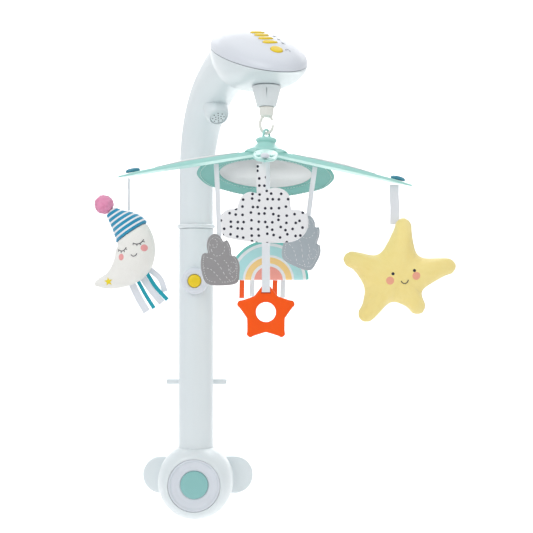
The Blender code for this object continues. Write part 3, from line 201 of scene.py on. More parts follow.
def tone(colour, amount):
    return tuple(max(0.0, min(1.0, c * amount)) for c in colour)


def plastic(name, colour, roughness=0.34, coat=0.25, texture=0.05):
    """Moulded plastic: faint flow variation, fine spark-eroded texture, soft gloss."""
    made = Look(name, roughness, Coat_Weight=coat, Coat_Roughness=0.25)
    made.paint(made.mix(made.noise(22), tone(colour, 0.985), tone(colour, 1.01)))
    wear = made.noise(60, 5.0)
    made.rough(made.maths("MULTIPLY_ADD", wear, 0.14, roughness - 0.07))
    made.bump(made.noise(2600, 2.0), texture, 0.00008)
    return made.material


def felt(name, colour, fuzz=0.35):
    """Pressed felt: matted fibres and a mottled tone."""
    made = Look(name, 0.95, Sheen_Weight=0.35, Sheen_Roughness=0.5)
    fibres = made.noise(1700, 6.0, 0.7)
    cloudy = made.noise(140, 3.0)
    shade = made.mix(cloudy, tone(colour, 0.93), tone(colour, 1.05))
    made.paint(made.mix(made.maths("MULTIPLY", fibres, 0.4), shade, tone(colour, 0.82)))
    made.bump(fibres, fuzz, 0.0005)
    return made


def plush(name, colour, deep):
    """Short-pile velour: tufts that catch light, darker between them."""
    made = Look(name, 0.9, Sheen_Weight=0.6, Sheen_Roughness=0.45)
    pile = made.noise(850, 5.0, 0.65)
    brushed = made.noise(70, 4.0, 0.6)
    shade = made.mix(brushed, deep, colour)
    made.paint(made.mix(made.maths("MULTIPLY", pile, 0.35), shade, deep))
    height = made.maths("MULTIPLY_ADD", brushed, 0.8, pile)
    made.bump(height, 0.55, 0.0008)
    return made


def woven(name, colour, threads=1500.0, sheen=0.25):
    """Plain-woven cotton or satin tape: crossing threads as bump and a slight tone."""
    made = Look(name, 0.6, Sheen_Weight=sheen, Sheen_Roughness=0.4)
    cloth = made.maths("MULTIPLY", made.wave((0.7, 0.3, 0.7), threads * pi),
                       made.wave((0.7, 0.3, -0.7), threads * pi))
    made.paint(made.mix(made.maths("MULTIPLY_ADD", cloth, 0.15, 0.5), tone(colour, 0.95), colour))
    made.bump(cloth, 0.18, 0.0001)
    return made


def flat(name, colour, roughness=0.8):
    """Embroidery thread or print: small, so it only needs a fine twist."""
    made = Look(name, roughness, Sheen_Weight=0.2)
    twist = made.wave((0.6, 0.5, 0.6), 9000.0)
    made.paint(made.mix(made.maths("MULTIPLY_ADD", twist, 0.2, 0.3), colour, tone(colour, 0.8)))
    made.bump(twist, 0.2, 0.0001)
    return made.material


# ---- mesh helpers -------------------------------------------------------------------------
def make(name, points, faces, look, body, replaced=(), slot=None, sharp=40):
    mesh = bpy.data.meshes.new(name)
    mesh.from_pydata([tuple(p) for p in points], [], faces)
    work = bmesh.new()
    work.from_mesh(mesh)
    bmesh.ops.remove_doubles(work, verts=work.verts, dist=1e-6)
    bmesh.ops.recalc_face_normals(work, faces=work.faces)
    work.to_mesh(mesh)
    work.free()
    mesh.shade_smooth()
    mesh.set_sharp_from_angle(angle=radians(sharp))
    made = bpy.data.objects.new(name, mesh)
    bpy.context.scene.collection.objects.link(made)
    for material in (look if isinstance(look, (list, tuple)) else [look]):
        mesh.materials.append(material)
    if body:
        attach(made, body)
        if replaced:
            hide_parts(*replaced)
    return made


def apply_modifiers(obj):
    """Turn the evaluated mesh into the object's own mesh."""
    bpy.context.view_layer.update()
    graph = bpy.context.evaluated_depsgraph_get()
    mesh = bpy.data.meshes.new_from_object(obj.evaluated_get(graph))
    obj.modifiers.clear()
    obj.data = mesh
    return obj


def carve(obj, cutters, operation="DIFFERENCE"):
    """Cut or join solids, then drop them."""
    for number, (points, faces) in enumerate(cutters):
        other = make(f"{obj.name}_tool_{number}", points, faces, [], None)
        step = obj.modifiers.new("carve", "BOOLEAN")
        step.operation = operation
        step.object = other
        apply_modifiers(obj)
        bpy.data.objects.remove(other)
    obj.data.set_sharp_from_angle(angle=radians(40))
    return obj


def bevel(obj, width, segments=3):
    step = obj.modifiers.new("edge", "BEVEL")
    step.width = width
    step.segments = segments
    step.limit_method = "ANGLE"
    step.angle_limit = radians(35)
    return obj


def axis_frame(axis):
    helper = Vector((1, 0, 0)) if abs(axis.x) < 0.9 else Vector((0, 1, 0))
    side = axis.cross(helper).normalized()
    return side, axis.cross(side).normalized()


def bridge(low, high):
    faces = []
    count = max(len(low), len(high))
    for k in range(count if len(low) + len(high) > 2 else 0):
        nxt = (k + 1) % count
        if len(low) == 1:
            faces.append((low[0], high[k], high[nxt]))
        elif len(high) == 1:
            faces.append((low[k], low[nxt], high[0]))
        else:
            faces.append((low[k], low[nxt], high[nxt], high[k]))
    return faces


def skin(rings, close=False):
    points, index = [], []
    for ring in rings:
        index.append(list(range(len(points), len(points) + len(ring))))
        points += ring
    faces = []
    for low, high in zip(index, index[1:] + (index[:1] if close else [])):
        faces += bridge(low, high)
    return points, faces


def loft(rings):
    """Skin rings and close both ends on their middles."""
    first = sum(rings[0], Vector()) / len(rings[0])
    last = sum(rings[-1], Vector()) / len(rings[-1])
    return skin([[first]] + list(rings) + [[last]])


def lathe(profile, centre, axis=UP, segments=72, closed=True):
    """Turn (radius, height) points in mm round an axis."""
    side, other = axis_frame(axis)
    rings = []
    for radius, height in profile:
        middle = centre + axis * height * MM
        if radius == 0:
            rings.append([middle])
            continue
        rings.append([middle + (side * cos(2 * pi * k / segments)
                                + other * sin(2 * pi * k / segments)) * radius * MM
                      for k in range(segments)])
    return skin(rings, close=closed)


def rounded(profile, radius=0.8, steps=3):
    """Round the inner corners of an open (r, h) profile with short arcs."""
    made = [profile[0]]
    for a, b, c in zip(profile, profile[1:], profile[2:]):
        before, after = Vector(a) - Vector(b), Vector(c) - Vector(b)
        reach = min(radius, before.length * 0.45, after.length * 0.45)
        start = Vector(b) + before.normalized() * reach
        end = Vector(b) + after.normalized() * reach
        for k in range(steps + 1):
            t = k / steps
            made.append(tuple(start * (1 - t) ** 2 + Vector(b) * 2 * t * (1 - t) + end * t * t))
    made.append(profile[-1])
    return made


def slab(outline, centre, across, up, thick, edge=0.0008, steps=4, hole=None):
    """A flat piece with rounded rims: the outline shrinks towards its own normal.
    A hole is a radius; its rim is rounded by 1 mm."""
    through = across.cross(up).normalized()
    count = len(outline)
    inward = []
    for k in range(count):
        a, b = Vector(outline[k - 1]), Vector(outline[(k + 1) % count])
        along = (b - a).normalized()
        inward.append(Vector((-along.y, along.x)))
    rings = []
    for side in (-1, 1):
        for k in range(steps + 1):
            turn = pi / 2 * (k if side < 0 else steps - k) / steps
            shrink = edge * (1 - sin(turn))
            level = side * (thick / 2 - edge + edge * cos(turn))
            rings.append([centre + across * (Vector(p) + n * shrink).x
                          + up * (Vector(p) + n * shrink).y + through * level
                          for p, n in zip(outline, inward)])
    if hole is None:
        return loft(rings)
    for level, grow in ((1, 1.2), (0.93, 0.5), (0.8, 0), (-0.8, 0), (-0.93, 0.5), (-1, 1.2)):
        ring = []
        for x, y in outline:
            way = Vector((x, y)).normalized() * (hole + grow * MM)
            ring.append(centre + across * way.x + up * way.y + through * (level * thick / 2))
        rings.append(ring)
    return skin(rings, close=True)


def box(low, high):
    corners = [Vector((x, y, z)) for x in (low[0], high[0]) for y in (low[1], high[1])
               for z in (low[2], high[2])]
    faces = [(0, 1, 3, 2), (4, 6, 7, 5), (0, 4, 5, 1), (2, 3, 7, 6), (0, 2, 6, 4), (1, 5, 7, 3)]
    return corners, faces


def merge(*parts):
    points, faces = [], []
    for more_points, more_faces in parts:
        start = len(points)
        points += list(more_points)
        faces += [tuple(start + k for k in face) for face in more_faces]
    return points, faces


def curve_between(a, b, c, d, steps):
    """Points of a smooth curve from b towards c, led by a and d."""
    made = []
    for k in range(steps):
        t = k / steps
        made.append(tuple(0.5 * (2 * q + (r - p) * t + (2 * p - 5 * q + 4 * r - s) * t * t
                                 + (3 * q - p - 3 * r + s) * t ** 3)
                          for p, q, r, s in zip(a, b, c, d)))
    return made


def catmull(points, steps):
    """A smooth open curve through a few points."""
    ends = [points[0]] + list(points) + [points[-1]]
    made = []
    for a, b, c, d in zip(ends, ends[1:], ends[2:], ends[3:]):
        made += curve_between(a, b, c, d, steps)
    return made + [tuple(points[-1])]


def closed_curve(points, steps):
    """A smooth closed outline through a few points."""
    n = len(points)
    wrapped = [points[(k - 1) % n] for k in range(n + 3)]
    made = []
    for k in range(n):
        made += curve_between(*wrapped[k:k + 4], steps)
    return made


def tube(path, radius, sides=10, close=False):
    """A round tube along any path, its sections kept from twisting."""
    count = len(path)
    rings, normal = [], None
    for k, point in enumerate(path):
        before = path[k - 1] if close or k else path[0]
        after = path[(k + 1) % count] if close or k < count - 1 else path[-1]
        tangent = (after - before).normalized()
        if normal is None:
            normal = axis_frame(tangent)[0]
        normal = (normal - tangent * normal.dot(tangent)).normalized()
        other = tangent.cross(normal)
        size = radius[k] if isinstance(radius, list) else radius
        rings.append([point + (normal * cos(2 * pi * j / sides) + other * sin(2 * pi * j / sides))
                      * size for j in range(sides)])
    return skin(rings, close=True) if close else loft(rings)


# ---- studio -------------------------------------------------------------------------------
def build_studio():
    camera = bpy.data.objects.new("camera", bpy.data.cameras.new("camera"))
    bpy.context.scene.collection.objects.link(camera)
    camera.location = (0.096, -1.280, 0.137)
    camera.rotation_euler = (radians(91.1), 0, 0)
    camera.data.lens = 61.4
    camera.data.sensor_width = 36
    bpy.context.scene.camera = camera
    bpy.context.scene.view_settings.view_transform = "Standard"
    look = Look("studio_paper", 0.95)
    look.paint(look.mix(look.noise(2.0), (0.93, 0.93, 0.93), (0.95, 0.95, 0.95)))
    rings = []
    start, level, bend = 1.3, -0.34, 0.5
    profile = [(-1.6, level), (start, level)]
    for k in range(1, 10):
        turn = radians(10 * k)
        profile.append((start + bend * sin(turn), level + bend - bend * cos(turn)))
    profile.append((start + bend, 2.4))
    for x in (-2.6, 2.8):
        rings.append([Vector((x, y, z)) for y, z in profile])
    points = rings[0] + rings[1]
    n = len(profile)
    faces = [(k, k + 1, n + k + 1, n + k) for k in range(n - 1)]
    floor = make("studio_floor", points, faces, look.material, None, sharp=180)
    world = bpy.data.worlds.new("studio")
    world.use_nodes = True
    world.node_tree.nodes["Background"].inputs[0].default_value = (0.97, 0.98, 1.0, 1)
    world.node_tree.nodes["Background"].inputs[1].default_value = 0.66
    bpy.context.scene.world = world
    lights = (("key", (-0.9, -1.5, 1.5), -0.2, 1.3, 12), ("fill", (1.5, -1.3, 0.6), -0.2, 1.4, 3),
              ("top", (0.1, 0.1, 1.7), -0.2, 1.2, 3), ("paper", (0.1, 0.9, 1.3), 1.7, 1.4, 30))
    for name, place, aim_y, size, power in lights:
        lamp = bpy.data.objects.new(name + "_light", bpy.data.lights.new(name, "AREA"))
        bpy.context.scene.collection.objects.link(lamp)
        lamp.data.energy = power
        lamp.data.size = size
        lamp.location = place
        aim = Vector((0.09, aim_y, 0.14)) - lamp.location
        lamp.rotation_euler = aim.to_track_quat("-Z", "Y").to_euler()


# ---- post and clamp -----------------------------------------------------------------------
WHITE = plastic("white_moulding", (0.745, 0.805, 0.825))
LID = plastic("lid_moulding", (0.70, 0.735, 0.79), 0.36, 0.2)
CUP = plastic("cup_moulding", (0.80, 0.835, 0.845))
CREAM = plastic("cream_moulding", (0.86, 0.85, 0.79), 0.4)
TEAL_CAP = plastic("teal_disc", (0.25, 0.53, 0.515), 0.45, 0.15)
YELLOW = plastic("yellow_key", (0.86, 0.62, 0.004), 0.4, 0.1)
KNOB = plastic("blue_toggle", (0.03, 0.24, 0.34), 0.25, 0.5)
DARK = plastic("shadow_gap", (0.04, 0.045, 0.05), 0.8, 0.0)


def post_hole(radius, low=-220.0, high=320.0):
    return lathe([(0, low), (radius, low), (radius, high), (0, high)], POST_AXIS, closed=False)


def build_post():
    profile = rounded([(23.5, -106), (23.5, 211.9), (21, 211.9)], 0.9)
    post = make("post_tube", *lathe(profile + [(21, -106)], POST_AXIS, segments=96), WHITE,
                "post", ["lower_post"], "white")
    carve(post, [lathe([(0, -30), (3.5, -30), (3.5, -10), (0, -10)],
                       BUTTON_AXIS, BACK, 32, False)])
    outer = catmull([(34.7 + 0.3, -35), (36.4, -35.1), (40.5, -32.4), (45.5, -25.5), (49.6, -15),
                     (51, -2), (50.6, 8), (48.8, 16), (46.3, 22), (44.6, 25.5)], 4)
    inner = [(41.5, 25.5), (43.5, 21), (46.5, 14), (48.5, 4), (48.5, -4), (46, -18), (42, -27),
             (35, -31.5)]
    housing = make("clamp_shell", *lathe(outer + inner, CLAMP_AXIS, BACK, 96), WHITE, "post",
                   ["clamp_housing"], "white")
    carve(housing, [post_hole(23.8, CLAMP_Z / MM + 23, 200)])
    make("clamp_rose", *lathe(
        rounded([(18.5, -28.6), (19.6, -29.4), (24, -29.8), (30.5, -32.2), (33.2, -35.6),
                 (34.7, -34.6), (34.7, -31)], 0.9, 4) + [(30, -29), (18.6, -26)],
        CLAMP_AXIS, BACK, 96), LID, "post", ["clamp_dish"], "lid")
    make("clamp_disc", *lathe(
        rounded([(0, -31.6), (12, -31.6), (18.3, -31.0), (18.3, -26.5)], 1.0, 4)
        + [(0, -26.5)], CLAMP_AXIS, BACK, 96, False), TEAL_CAP, "post", ["clamp_cap"],
        "teal_cap")
    for node, look in (("clamp_back_plate", WHITE), ("rail_rest", WHITE),
                       ("front_jaw_pad", DARK), ("rear_jaw", WHITE)):
        dress(node, look)
    bevel(frame["nodes"]["rail_rest"], 0.0012)
    steel = Look("zinc_screw", 0.3, Metallic=1.0)
    steel.paint(steel.mix(steel.noise(300), (0.55, 0.56, 0.58), (0.68, 0.69, 0.71)))
    steel.bump(steel.noise(1800), 0.1, 0.0001)
    dress("clamp_screw", steel.material)
    build_wing()
    build_release()


def dress(node, look):
    """Give a CAD node its surface."""
    obj = frame["nodes"][node]
    obj.data.materials.clear()
    obj.data.materials.append(look)
    obj.data.shade_smooth()
    obj.data.set_sharp_from_angle(angle=radians(35))


NUT_FACE = 34.6
NUT_THICK = 8


def build_wing():
    """The wing nut: a flat plate with round ends and a boss."""
    outline = []
    for k in range(72):
        turn = 2 * pi * (k + 0.5) / 72
        shift = 51 if cos(turn) > 0 else -51
        outline.append(((shift + 26 * cos(turn)) * MM, 26 * sin(turn) * MM))
    middle = CLAMP_AXIS + BACK * ((NUT_FACE + NUT_THICK / 2) * MM)
    wing = make("wing_plate", *slab(outline, middle, RIGHT, UP, NUT_THICK * MM, 2.4 * MM, 5), WHITE,
                "nut", ["wing_nut"], "white")
    face = NUT_FACE
    carve(wing, [lathe(rounded([(0, face + 2), (17, face + 2), (15.5, face + 18), (9, face + 18)],
                               1.2) + [(0, face + 18)], CLAMP_AXIS, BACK, 64, False)], "UNION")
    carve(wing, [lathe([(0, face - 5), (5.4, face - 5), (5.4, face + 25), (0, face + 25)],
                       CLAMP_AXIS, BACK, 32, False)])


def build_release():
    bezel = make("button_bezel", *lathe(
        [(9.2, -16)] + rounded([(9.2, -30), (9.2, -31.2), (11.2, -32.1), (15.2, -31.8),
                                (17.6, -29.4), (18, -26), (18, -16)], 1.0, 4), BUTTON_AXIS, BACK, 72),
        LID, "post", ["release_bezel"], "lid")
    carve(bezel, [post_hole(23.8)])
    make("button_dome", *lathe(
        catmull([(0.001, -34.2), (4.5, -33.9), (7.6, -32.8), (8.7, -31)], 5)
        + [(8.8, -28.5), (3, -28.5), (3, -21.4), (0, -21.4)], BUTTON_AXIS, BACK, 48, False),
        YELLOW, "release", ["release_button"], "yellow")


# ---- arm ----------------------------------------------------------------------------------
ARM_BASE = 218.6
ARM_BASE_R = 23.0
ARM_END_R = 31.0
ARM_CURVE = ((0, 262), (0, 355), (55, 400), (178, 408))


def arm_point(reach, height, side=0.0):
    return POST_AXIS + (ARM_DIR * reach + SIDE_DIR * side + UP * height) * MM


def arm_stations(steps=40):
    made = [(0, ARM_BASE, ARM_BASE_R), (0, 240, ARM_BASE_R)]
    a, b, c, d = ARM_CURVE
    for k in range(steps + 1):
        t = k / steps
        w = ((1 - t) ** 3, 3 * t * (1 - t) ** 2, 3 * t * t * (1 - t), t ** 3)
        reach, height = (sum(v * p[j] for v, p in zip(w, (a, b, c, d))) for j in (0, 1))
        made.append((reach, height, ARM_BASE_R + (ARM_END_R - ARM_BASE_R) * t ** 1.3))
    return made


def arm_rings(grow=0.0, sides=64, groove=True):
    """Sections of the arm, with a fine groove where its two shells meet."""
    path = arm_stations()
    rings = []
    for k, (reach, height, radius) in enumerate(path):
        before, after = path[max(k - 1, 0)], path[min(k + 1, len(path) - 1)]
        along = (arm_point(after[0], after[1]) - arm_point(before[0], before[1])).normalized()
        normal = SIDE_DIR.cross(along).normalized()
        ring = []
        for j in range(sides):
            turn = 2 * pi * j / sides
            size = radius + grow
            if groove and j % (sides // 2) == sides // 4:
                size -= 0.7
            ring.append(arm_point(reach, height)
                        + (normal * cos(turn) + SIDE_DIR * sin(turn)) * size * MM)
        rings.append(ring)
    return rings


def build_arm():
    make("arm_collar_ring", *lathe(
        rounded([(21, 212.3), (24.4, 212.3), (26.4, 214), (26.4, 216.4), (24.4, 218.3)], 1.0, 4)
        + [(21, 218.3)], POST_AXIS, segments=96), WHITE, "spigot", ["arm_spigot"], "white")
    spigot = make("spigot_tube", *lathe([(20.2, 120), (20.2, 261.7), (17.8, 261.7), (17.8, 120)],
                                        POST_AXIS, segments=72), WHITE, "spigot")
    carve(spigot, [lathe([(0, -25), (3.6, -25), (3.6, -12), (0, -12)],
                         BUTTON_AXIS, BACK, 32, False)])
    arm = make("arm_shell", *skin(arm_rings() + list(reversed(arm_rings(-2.1, groove=False))),
                                  close=True), WHITE, "arm",
               ["arm_shell_front", "arm_shell_back"], "white")
    carve(arm, [head_solid(-0.6)])
    for node in ("battery_pack", "speaker", "motor", "gearbox_plate", "circuit_board"):
        dress(node, INNER if node != "circuit_board" else BOARD)
    build_sensor()


def build_sensor():
    """The pod under the bend and its perforated face."""
    axis = (ARM_DIR * 0.62 - UP * 0.785).normalized()
    face = arm_point(97, 348.5)
    outer = catmull([(10.3, 0.4), (11.4, 0.9), (13.4, -1.0), (15.0, -5.5), (15.5, -12),
                     (15.5, -26)], 4)
    pod = make("sensor_barrel", *lathe(outer + [(15.5, -42), (13.3, -42), (13.3, -8),
                                                (10.3, -2.5)], face, axis, 72), WHITE, "arm",
               ["sensor_pod"], "white")
    carve(pod, [loft(arm_rings(-1.0, 48, False))])
    grille = make("sensor_face", *lathe(
        catmull([(0.001, 1.2), (5, 0.9), (8.6, 0.2), (10, -0.5)], 4)
        + [(10, -1.8), (0, -1.8)], face, axis, 64, False), WHITE, "arm", ["sensor_grille"],
        "white")
    side, other = axis_frame(axis)
    holes, mesh = [], []
    for count, ring_r, top in ((1, 0.0, 0.9), (6, 3.9, 0.7), (8, 7.2, 0.2)):
        for k in range(count):
            turn = 2 * pi * k / count
            centre = face + (side * cos(turn) + other * sin(turn)) * ring_r * MM
            holes.append(lathe([(0, -4), (0.9, -4), (0.9, 3), (0, 3)], centre, axis, 16, False))
            mesh.append(lathe([(0, -1.6), (0.86, -1.6), (0.86, top), (0, top)], centre, axis, 16,
                              False))
    carve(grille, [merge(*holes)])
    # Near-black plugs in the grille holes and a near-black disc behind them: partly the dark mesh
    # behind the grille, partly painted shade inside the holes.
    make("sensor_mesh_and_shade", *merge(*mesh), DARK, "arm")
    make("sensor_backing_and_shade", *lathe([(0, -2.2), (9.8, -2.2), (9.8, -2.6), (0, -2.6)], face, axis,
                                  32, False), DARK, "arm")


# ---- head ---------------------------------------------------------------------------------
def head_normal():
    return (ARM_DIR * HEAD_FALL - SIDE_DIR * HEAD_LEAN + UP).normalized()


def head_point(along, across, height=0.0):
    """Along the arm, to the right, and off the seam plane, all in metres."""
    z = HEAD_Z - HEAD_FALL * along + HEAD_LEAN * across
    return arm_point((HEAD_REACH + along) / MM, z / MM, across / MM) + head_normal() * height


def lid_rings(shrink, height, lift, steps=16, count=96):
    rings = []
    for k in range(steps):
        turn = pi / 2 * k / steps
        rings.append([head_point((HEAD_A - shrink) * cos(turn) * cos(2 * pi * j / count),
                                 (HEAD_B - shrink) * cos(turn) * sin(2 * pi * j / count),
                                 lift + height * sin(turn)) for j in range(count)])
    rings.append([head_point(0, 0, lift + height)])
    return rings


def bowl_ring(turn, shrink, count=96):
    blend, inward = sin(turn), 1 - cos(turn)
    shift = (REACH - HEAD_REACH) * inward
    hole = 8.4 * MM
    half_a = (HEAD_A - shrink) * max(cos(turn), 0) ** 0.85 + hole * inward
    half_b = (HEAD_B - shrink) * max(cos(turn), 0) ** 0.85 + hole * inward
    ring = []
    for j in range(count):
        along = shift + half_a * cos(2 * pi * j / count)
        across = half_b * sin(2 * pi * j / count)
        seam = head_point(along, across)
        ring.append(Vector((seam.x, seam.y,
                            seam.z * (1 - blend) + (BOWL_BOTTOM + shrink) * blend)))
    return ring


def head_solid(grow):
    """The head's outer shape as one closed solid."""
    grow = grow * MM
    rings = list(reversed(lid_rings(-grow, LID_HEIGHT + grow, 0, 10, 64)))
    rings += [bowl_ring(pi / 2 * k / 12, -grow, 64) for k in range(1, 13)]
    return skin(rings + [[arm_point(REACH / MM, (BOWL_BOTTOM - grow) / MM)]])


def build_head():
    outer = [bowl_ring(pi / 2 * k / 16, 0) for k in range(17)]
    inner = [bowl_ring(pi / 2 * k / 16, 2.2 * MM) for k in range(17)]
    drop = head_normal() * (0.35 * MM)
    for rings in (outer, inner):
        rings[0] = [p - drop for p in rings[0]]
    make("music_bowl", *skin(outer + list(reversed(inner)), close=True), WHITE, "arm",
         ["head_bowl"], "white")
    lid = make("music_lid", *skin(list(reversed(lid_rings(0, LID_HEIGHT, 0.35 * MM)))
                                  + lid_rings(2.2 * MM, LID_HEIGHT - 2.2 * MM, 0.35 * MM)),
               LID, "arm", ["head_lid"], "lid")
    build_keys(lid)


INNER = plastic("inner_moulding", (0.55, 0.56, 0.57), 0.5, 0.0)
BOARD = plastic("board_mask", (0.03, 0.20, 0.08), 0.4, 0.1)
PRINT = flat("grey_print", (0.22, 0.25, 0.28), 0.6)
PETALS = (34.2, 21.1, 7.7, -5.3)


def lid_surface(along, across, proud=0.0):
    """A point of the lid's outer face; along and across in mm."""
    inside = 1 - (along * MM / HEAD_A) ** 2 - (across * MM / HEAD_B) ** 2
    return head_point(along * MM, across * MM,
                      LID_HEIGHT * sqrt(max(inside, 0)) + 0.35 * MM + proud * MM)


def key_rings(outline, along, low, tops):
    """A key that stands off the seam plane, its crown rounded and following the lid."""
    rings = [[head_point((along + x) * MM, y * MM, low) for x, y in outline]]
    for scale, proud in tops:
        rings.append([lid_surface(along + x * scale, y * scale, proud) for x, y in outline])
    return loft(rings)


def build_keys(lid):
    """The round key, the four leaf keys, their slots in the lid and the printed marks."""
    circle = [(6.7 * cos(2 * pi * k / 48), 6.7 * sin(2 * pi * k / 48)) for k in range(48)]
    petal = []
    for k in range(48):
        turn = 2 * pi * k / 48
        petal.append(((3.75 * (1 - 0.35 * cos(turn))) * sin(turn), 8.5 * cos(turn)))
    tops = ((1, 0.1), (0.98, 0.7), (0.93, 1.1), (0.8, 1.3), (0.5, 1.45))
    keys = [("power", "power_button", 54.0, circle)]
    keys += [(f"petal_{n}", f"petal_button_{n}", at, petal) for n, at in enumerate(PETALS, 1)]
    cuts = []
    for body, node, along, outline in keys:
        make(node + "_cap", *key_rings(outline, along, 7.4 * MM, tops), YELLOW, body, [node],
             "yellow")
        wide = [(x * 1.06, y * 1.06) for x, y in outline]
        cuts.append(key_rings(wide, along, 2 * MM, ((1, 3),)))
    carve(lid, cuts)
    marks = []
    for along in PETALS[:3]:
        for step in range(3):
            place = along - 1.5 + step * 1.5
            a, b = lid_surface(place, 13.5), lid_surface(place, 15.5 + step)
            marks.append(tube([a, (a + b) / 2 + head_normal() * 0.02 * MM, b], 0.28 * MM, 6))
    ring = [lid_surface(54 + 2.6 * cos(radians(30 * k)), 13 + 2.6 * sin(radians(30 * k)))
            for k in range(1, 11)]
    marks.append(tube(ring, 0.3 * MM, 6))
    make("lid_print", *merge(*marks), PRINT, "arm")


def build_spindle():
    profile = [(4.3, 330.6)] + rounded([(6, 330.6), (10.4, 330.6), (16.2, 352.2), (15.2, 353.2),
                                        (13.5, 353.2)], 0.8) + [(8.5, 338), (4.3, 338)]
    cup = make("turning_cup", *lathe(profile, HUB_AXIS), CUP, "output", ["spindle_cup"], "lid")
    groove = box((HUB_AXIS.x - 0.3 * MM, HUB_AXIS.y - 18 * MM, 333 * MM),
                 (HUB_AXIS.x + 0.6 * MM, HUB_AXIS.y - 12.5 * MM, 349 * MM))
    carve(cup, [groove])
    stem = make("hook_stem", *lathe(
        catmull([(0.001, 319.4), (4.5, 319.5), (6.9, 320.9), (7.6, 324), (8.2, 330)], 4)
        + [(0, 330.3)], HUB_AXIS, segments=48, closed=False), CREAM, "output", ["hook"],
        "cream")
    centre = HUB_AXIS + UP * (PIVOT_Z + 10 * MM)
    path, sizes = [], []
    for k in range(49):
        turn = radians(25 + 330 * k / 48)
        path.append(centre + Vector((7 * MM * cos(turn), 0, 10 * MM * sin(turn))))
        sizes.append((1.72 if 2 < k < 46 else 1.45) * MM)
    carve(stem, [tube(path, sizes, 16)], "UNION")
    for node in ("output_gear", "idler_gear", "motor_pinion"):
        dress(node, CREAM)


# ---- canopy -------------------------------------------------------------------------------
def on_canopy(points, faces):
    """Move a solid from the canopy's own frame into place."""
    return [CANOPY @ p for p in points], faces


def leaf_axes(turn):
    """Directions out along a leaf and across it."""
    return Vector((cos(turn), sin(turn), 0)), Vector((-sin(turn), cos(turn), 0))


def leaf_bottom(radius):
    return EDGE_Z - EDGE_SLOPE * radius


def leaf_section(radius):
    t = radius / TIP_R
    if t < 0.87:
        width = 9 * MM + 3.5 * MM * sin(pi * min(t * 1.15, 1))
    else:
        width = 9 * MM * (1 - t) / 0.13
    thick = 4.6 * MM if t < 0.55 else 4.6 * MM - 2.6 * MM * (t - 0.55) / 0.45
    return max(width, 1.0 * MM), thick


def leaf_rings(turn, stations, lift, inset=0.0, curve=1.4 * MM):
    """Rounded cross-sections along a leaf; lift gives (low, high, crown) above its underside."""
    out, side = leaf_axes(turn)
    rings = []
    for radius in stations:
        width, thick = leaf_section(radius)
        width = max(width - inset, 0.7 * MM)
        low, high, crown = lift(radius, thick)
        low, high = low + leaf_bottom(radius), high + leaf_bottom(radius)
        bend = min(curve, width * 0.6, (high - low) * 0.45)
        ring = []
        for sx, sz, start in ((1, -1, -90), (1, 1, 0), (-1, 1, 90), (-1, -1, 180)):
            for k in range(5):
                a = radians(start + 22.5 * k)
                y = sx * (width - bend) + bend * cos(a)
                z = (high - bend if sz > 0 else low + bend) + bend * sin(a)
                ring.append((y, z))
            if (sx, sz) == (1, 1):
                ring += [(width * f, high + crown * (1 - f * f)) for f in (0.6, 0.3, 0, -0.3, -0.6)]
        rings.append([CANOPY @ (out * radius + side * y + UP * z) for y, z in ring])
    return rings


LEAVES = ((0, "right"), (pi, "left"), (-pi / 2, "front"))


def build_canopy():
    hub = [(0, -22.4), (16, -22.4), (21, -22.0), (23.6, -20.9), (23.0, -19.6), (20.3, -18.2),
           (16.5, -16.6), (13.6, -14.9), (11.4, -13.0), (9.9, -11.2), (9.8, -10.4), (11.0, -9.2),
           (11.6, -7.8), (11.2, -6.2), (9.2, -4.8), (6, -4.1), (0, -3.9)]
    solids = [on_canopy(*lathe(hub, Vector(), closed=False))]
    for turn, _ in LEAVES:
        stations = [6 * MM + 149 * MM * k / 42 for k in range(43)]
        stations += [157 * MM, 159 * MM, 160.6 * MM]
        solids.append(loft(leaf_rings(turn, stations, lambda radius, thick: (0, thick, 0))))
    tongue = box((-11 * MM, 4 * MM, -20.5 * MM), (11 * MM, 33 * MM, -18.1 * MM))
    solids.append(on_canopy(*tongue))
    flat_dir, _ = leaf_axes(EYE_TURN)
    loop = [CANOPY @ (UP * (-2.4 * MM) + (flat_dir * cos(2 * pi * k / 32)
                                          + UP * sin(2 * pi * k / 32)) * (6.5 * MM))
            for k in range(32)]
    solids.append(tube(loop, 1.35 * MM, 14, close=True))
    make("canopy_star", *merge(*solids), leaf_look(), "canopy", ["canopy_frame"], "teal")
    panel = woven("panel_cloth", (0.74, 0.745, 0.75), 1200.0)
    panel.bump(panel.noise(500, 4.0), 0.25, 0.0004)
    for turn, name in LEAVES:
        stations = [29 * MM + 91 * MM * k / 30 for k in range(31)]

        def lift(radius, thick):
            t = (radius - 29 * MM) / (91 * MM)
            return thick + 0.3 * MM, thick + 1.0 * MM, 2.6 * MM * sin(pi * t) ** 0.7

        make("leaf_pad_" + name, *loft(leaf_rings(turn, stations, lift, 2.6 * MM, 0.5 * MM)),
             leaf_look() if name == "front" else panel.material, "canopy",
             ["leaf_panel_" + name], "panel")
    build_toggles()
    build_mirror()


def leaf_look():
    """Canopy plastic: two close greens in faint clouds, softly glossy."""
    made = Look("leaf_moulding", 0.42, Coat_Weight=0.1, Coat_Roughness=0.3)
    cloudy = made.noise(25)
    made.paint(made.mix(cloudy, (0.36, 0.70, 0.64), (0.43, 0.76, 0.70)))
    made.rough(made.maths("MULTIPLY_ADD", made.noise(70, 4.0), 0.14, 0.26))
    made.bump(made.noise(2400), 0.05, 0.0001)
    return made.material


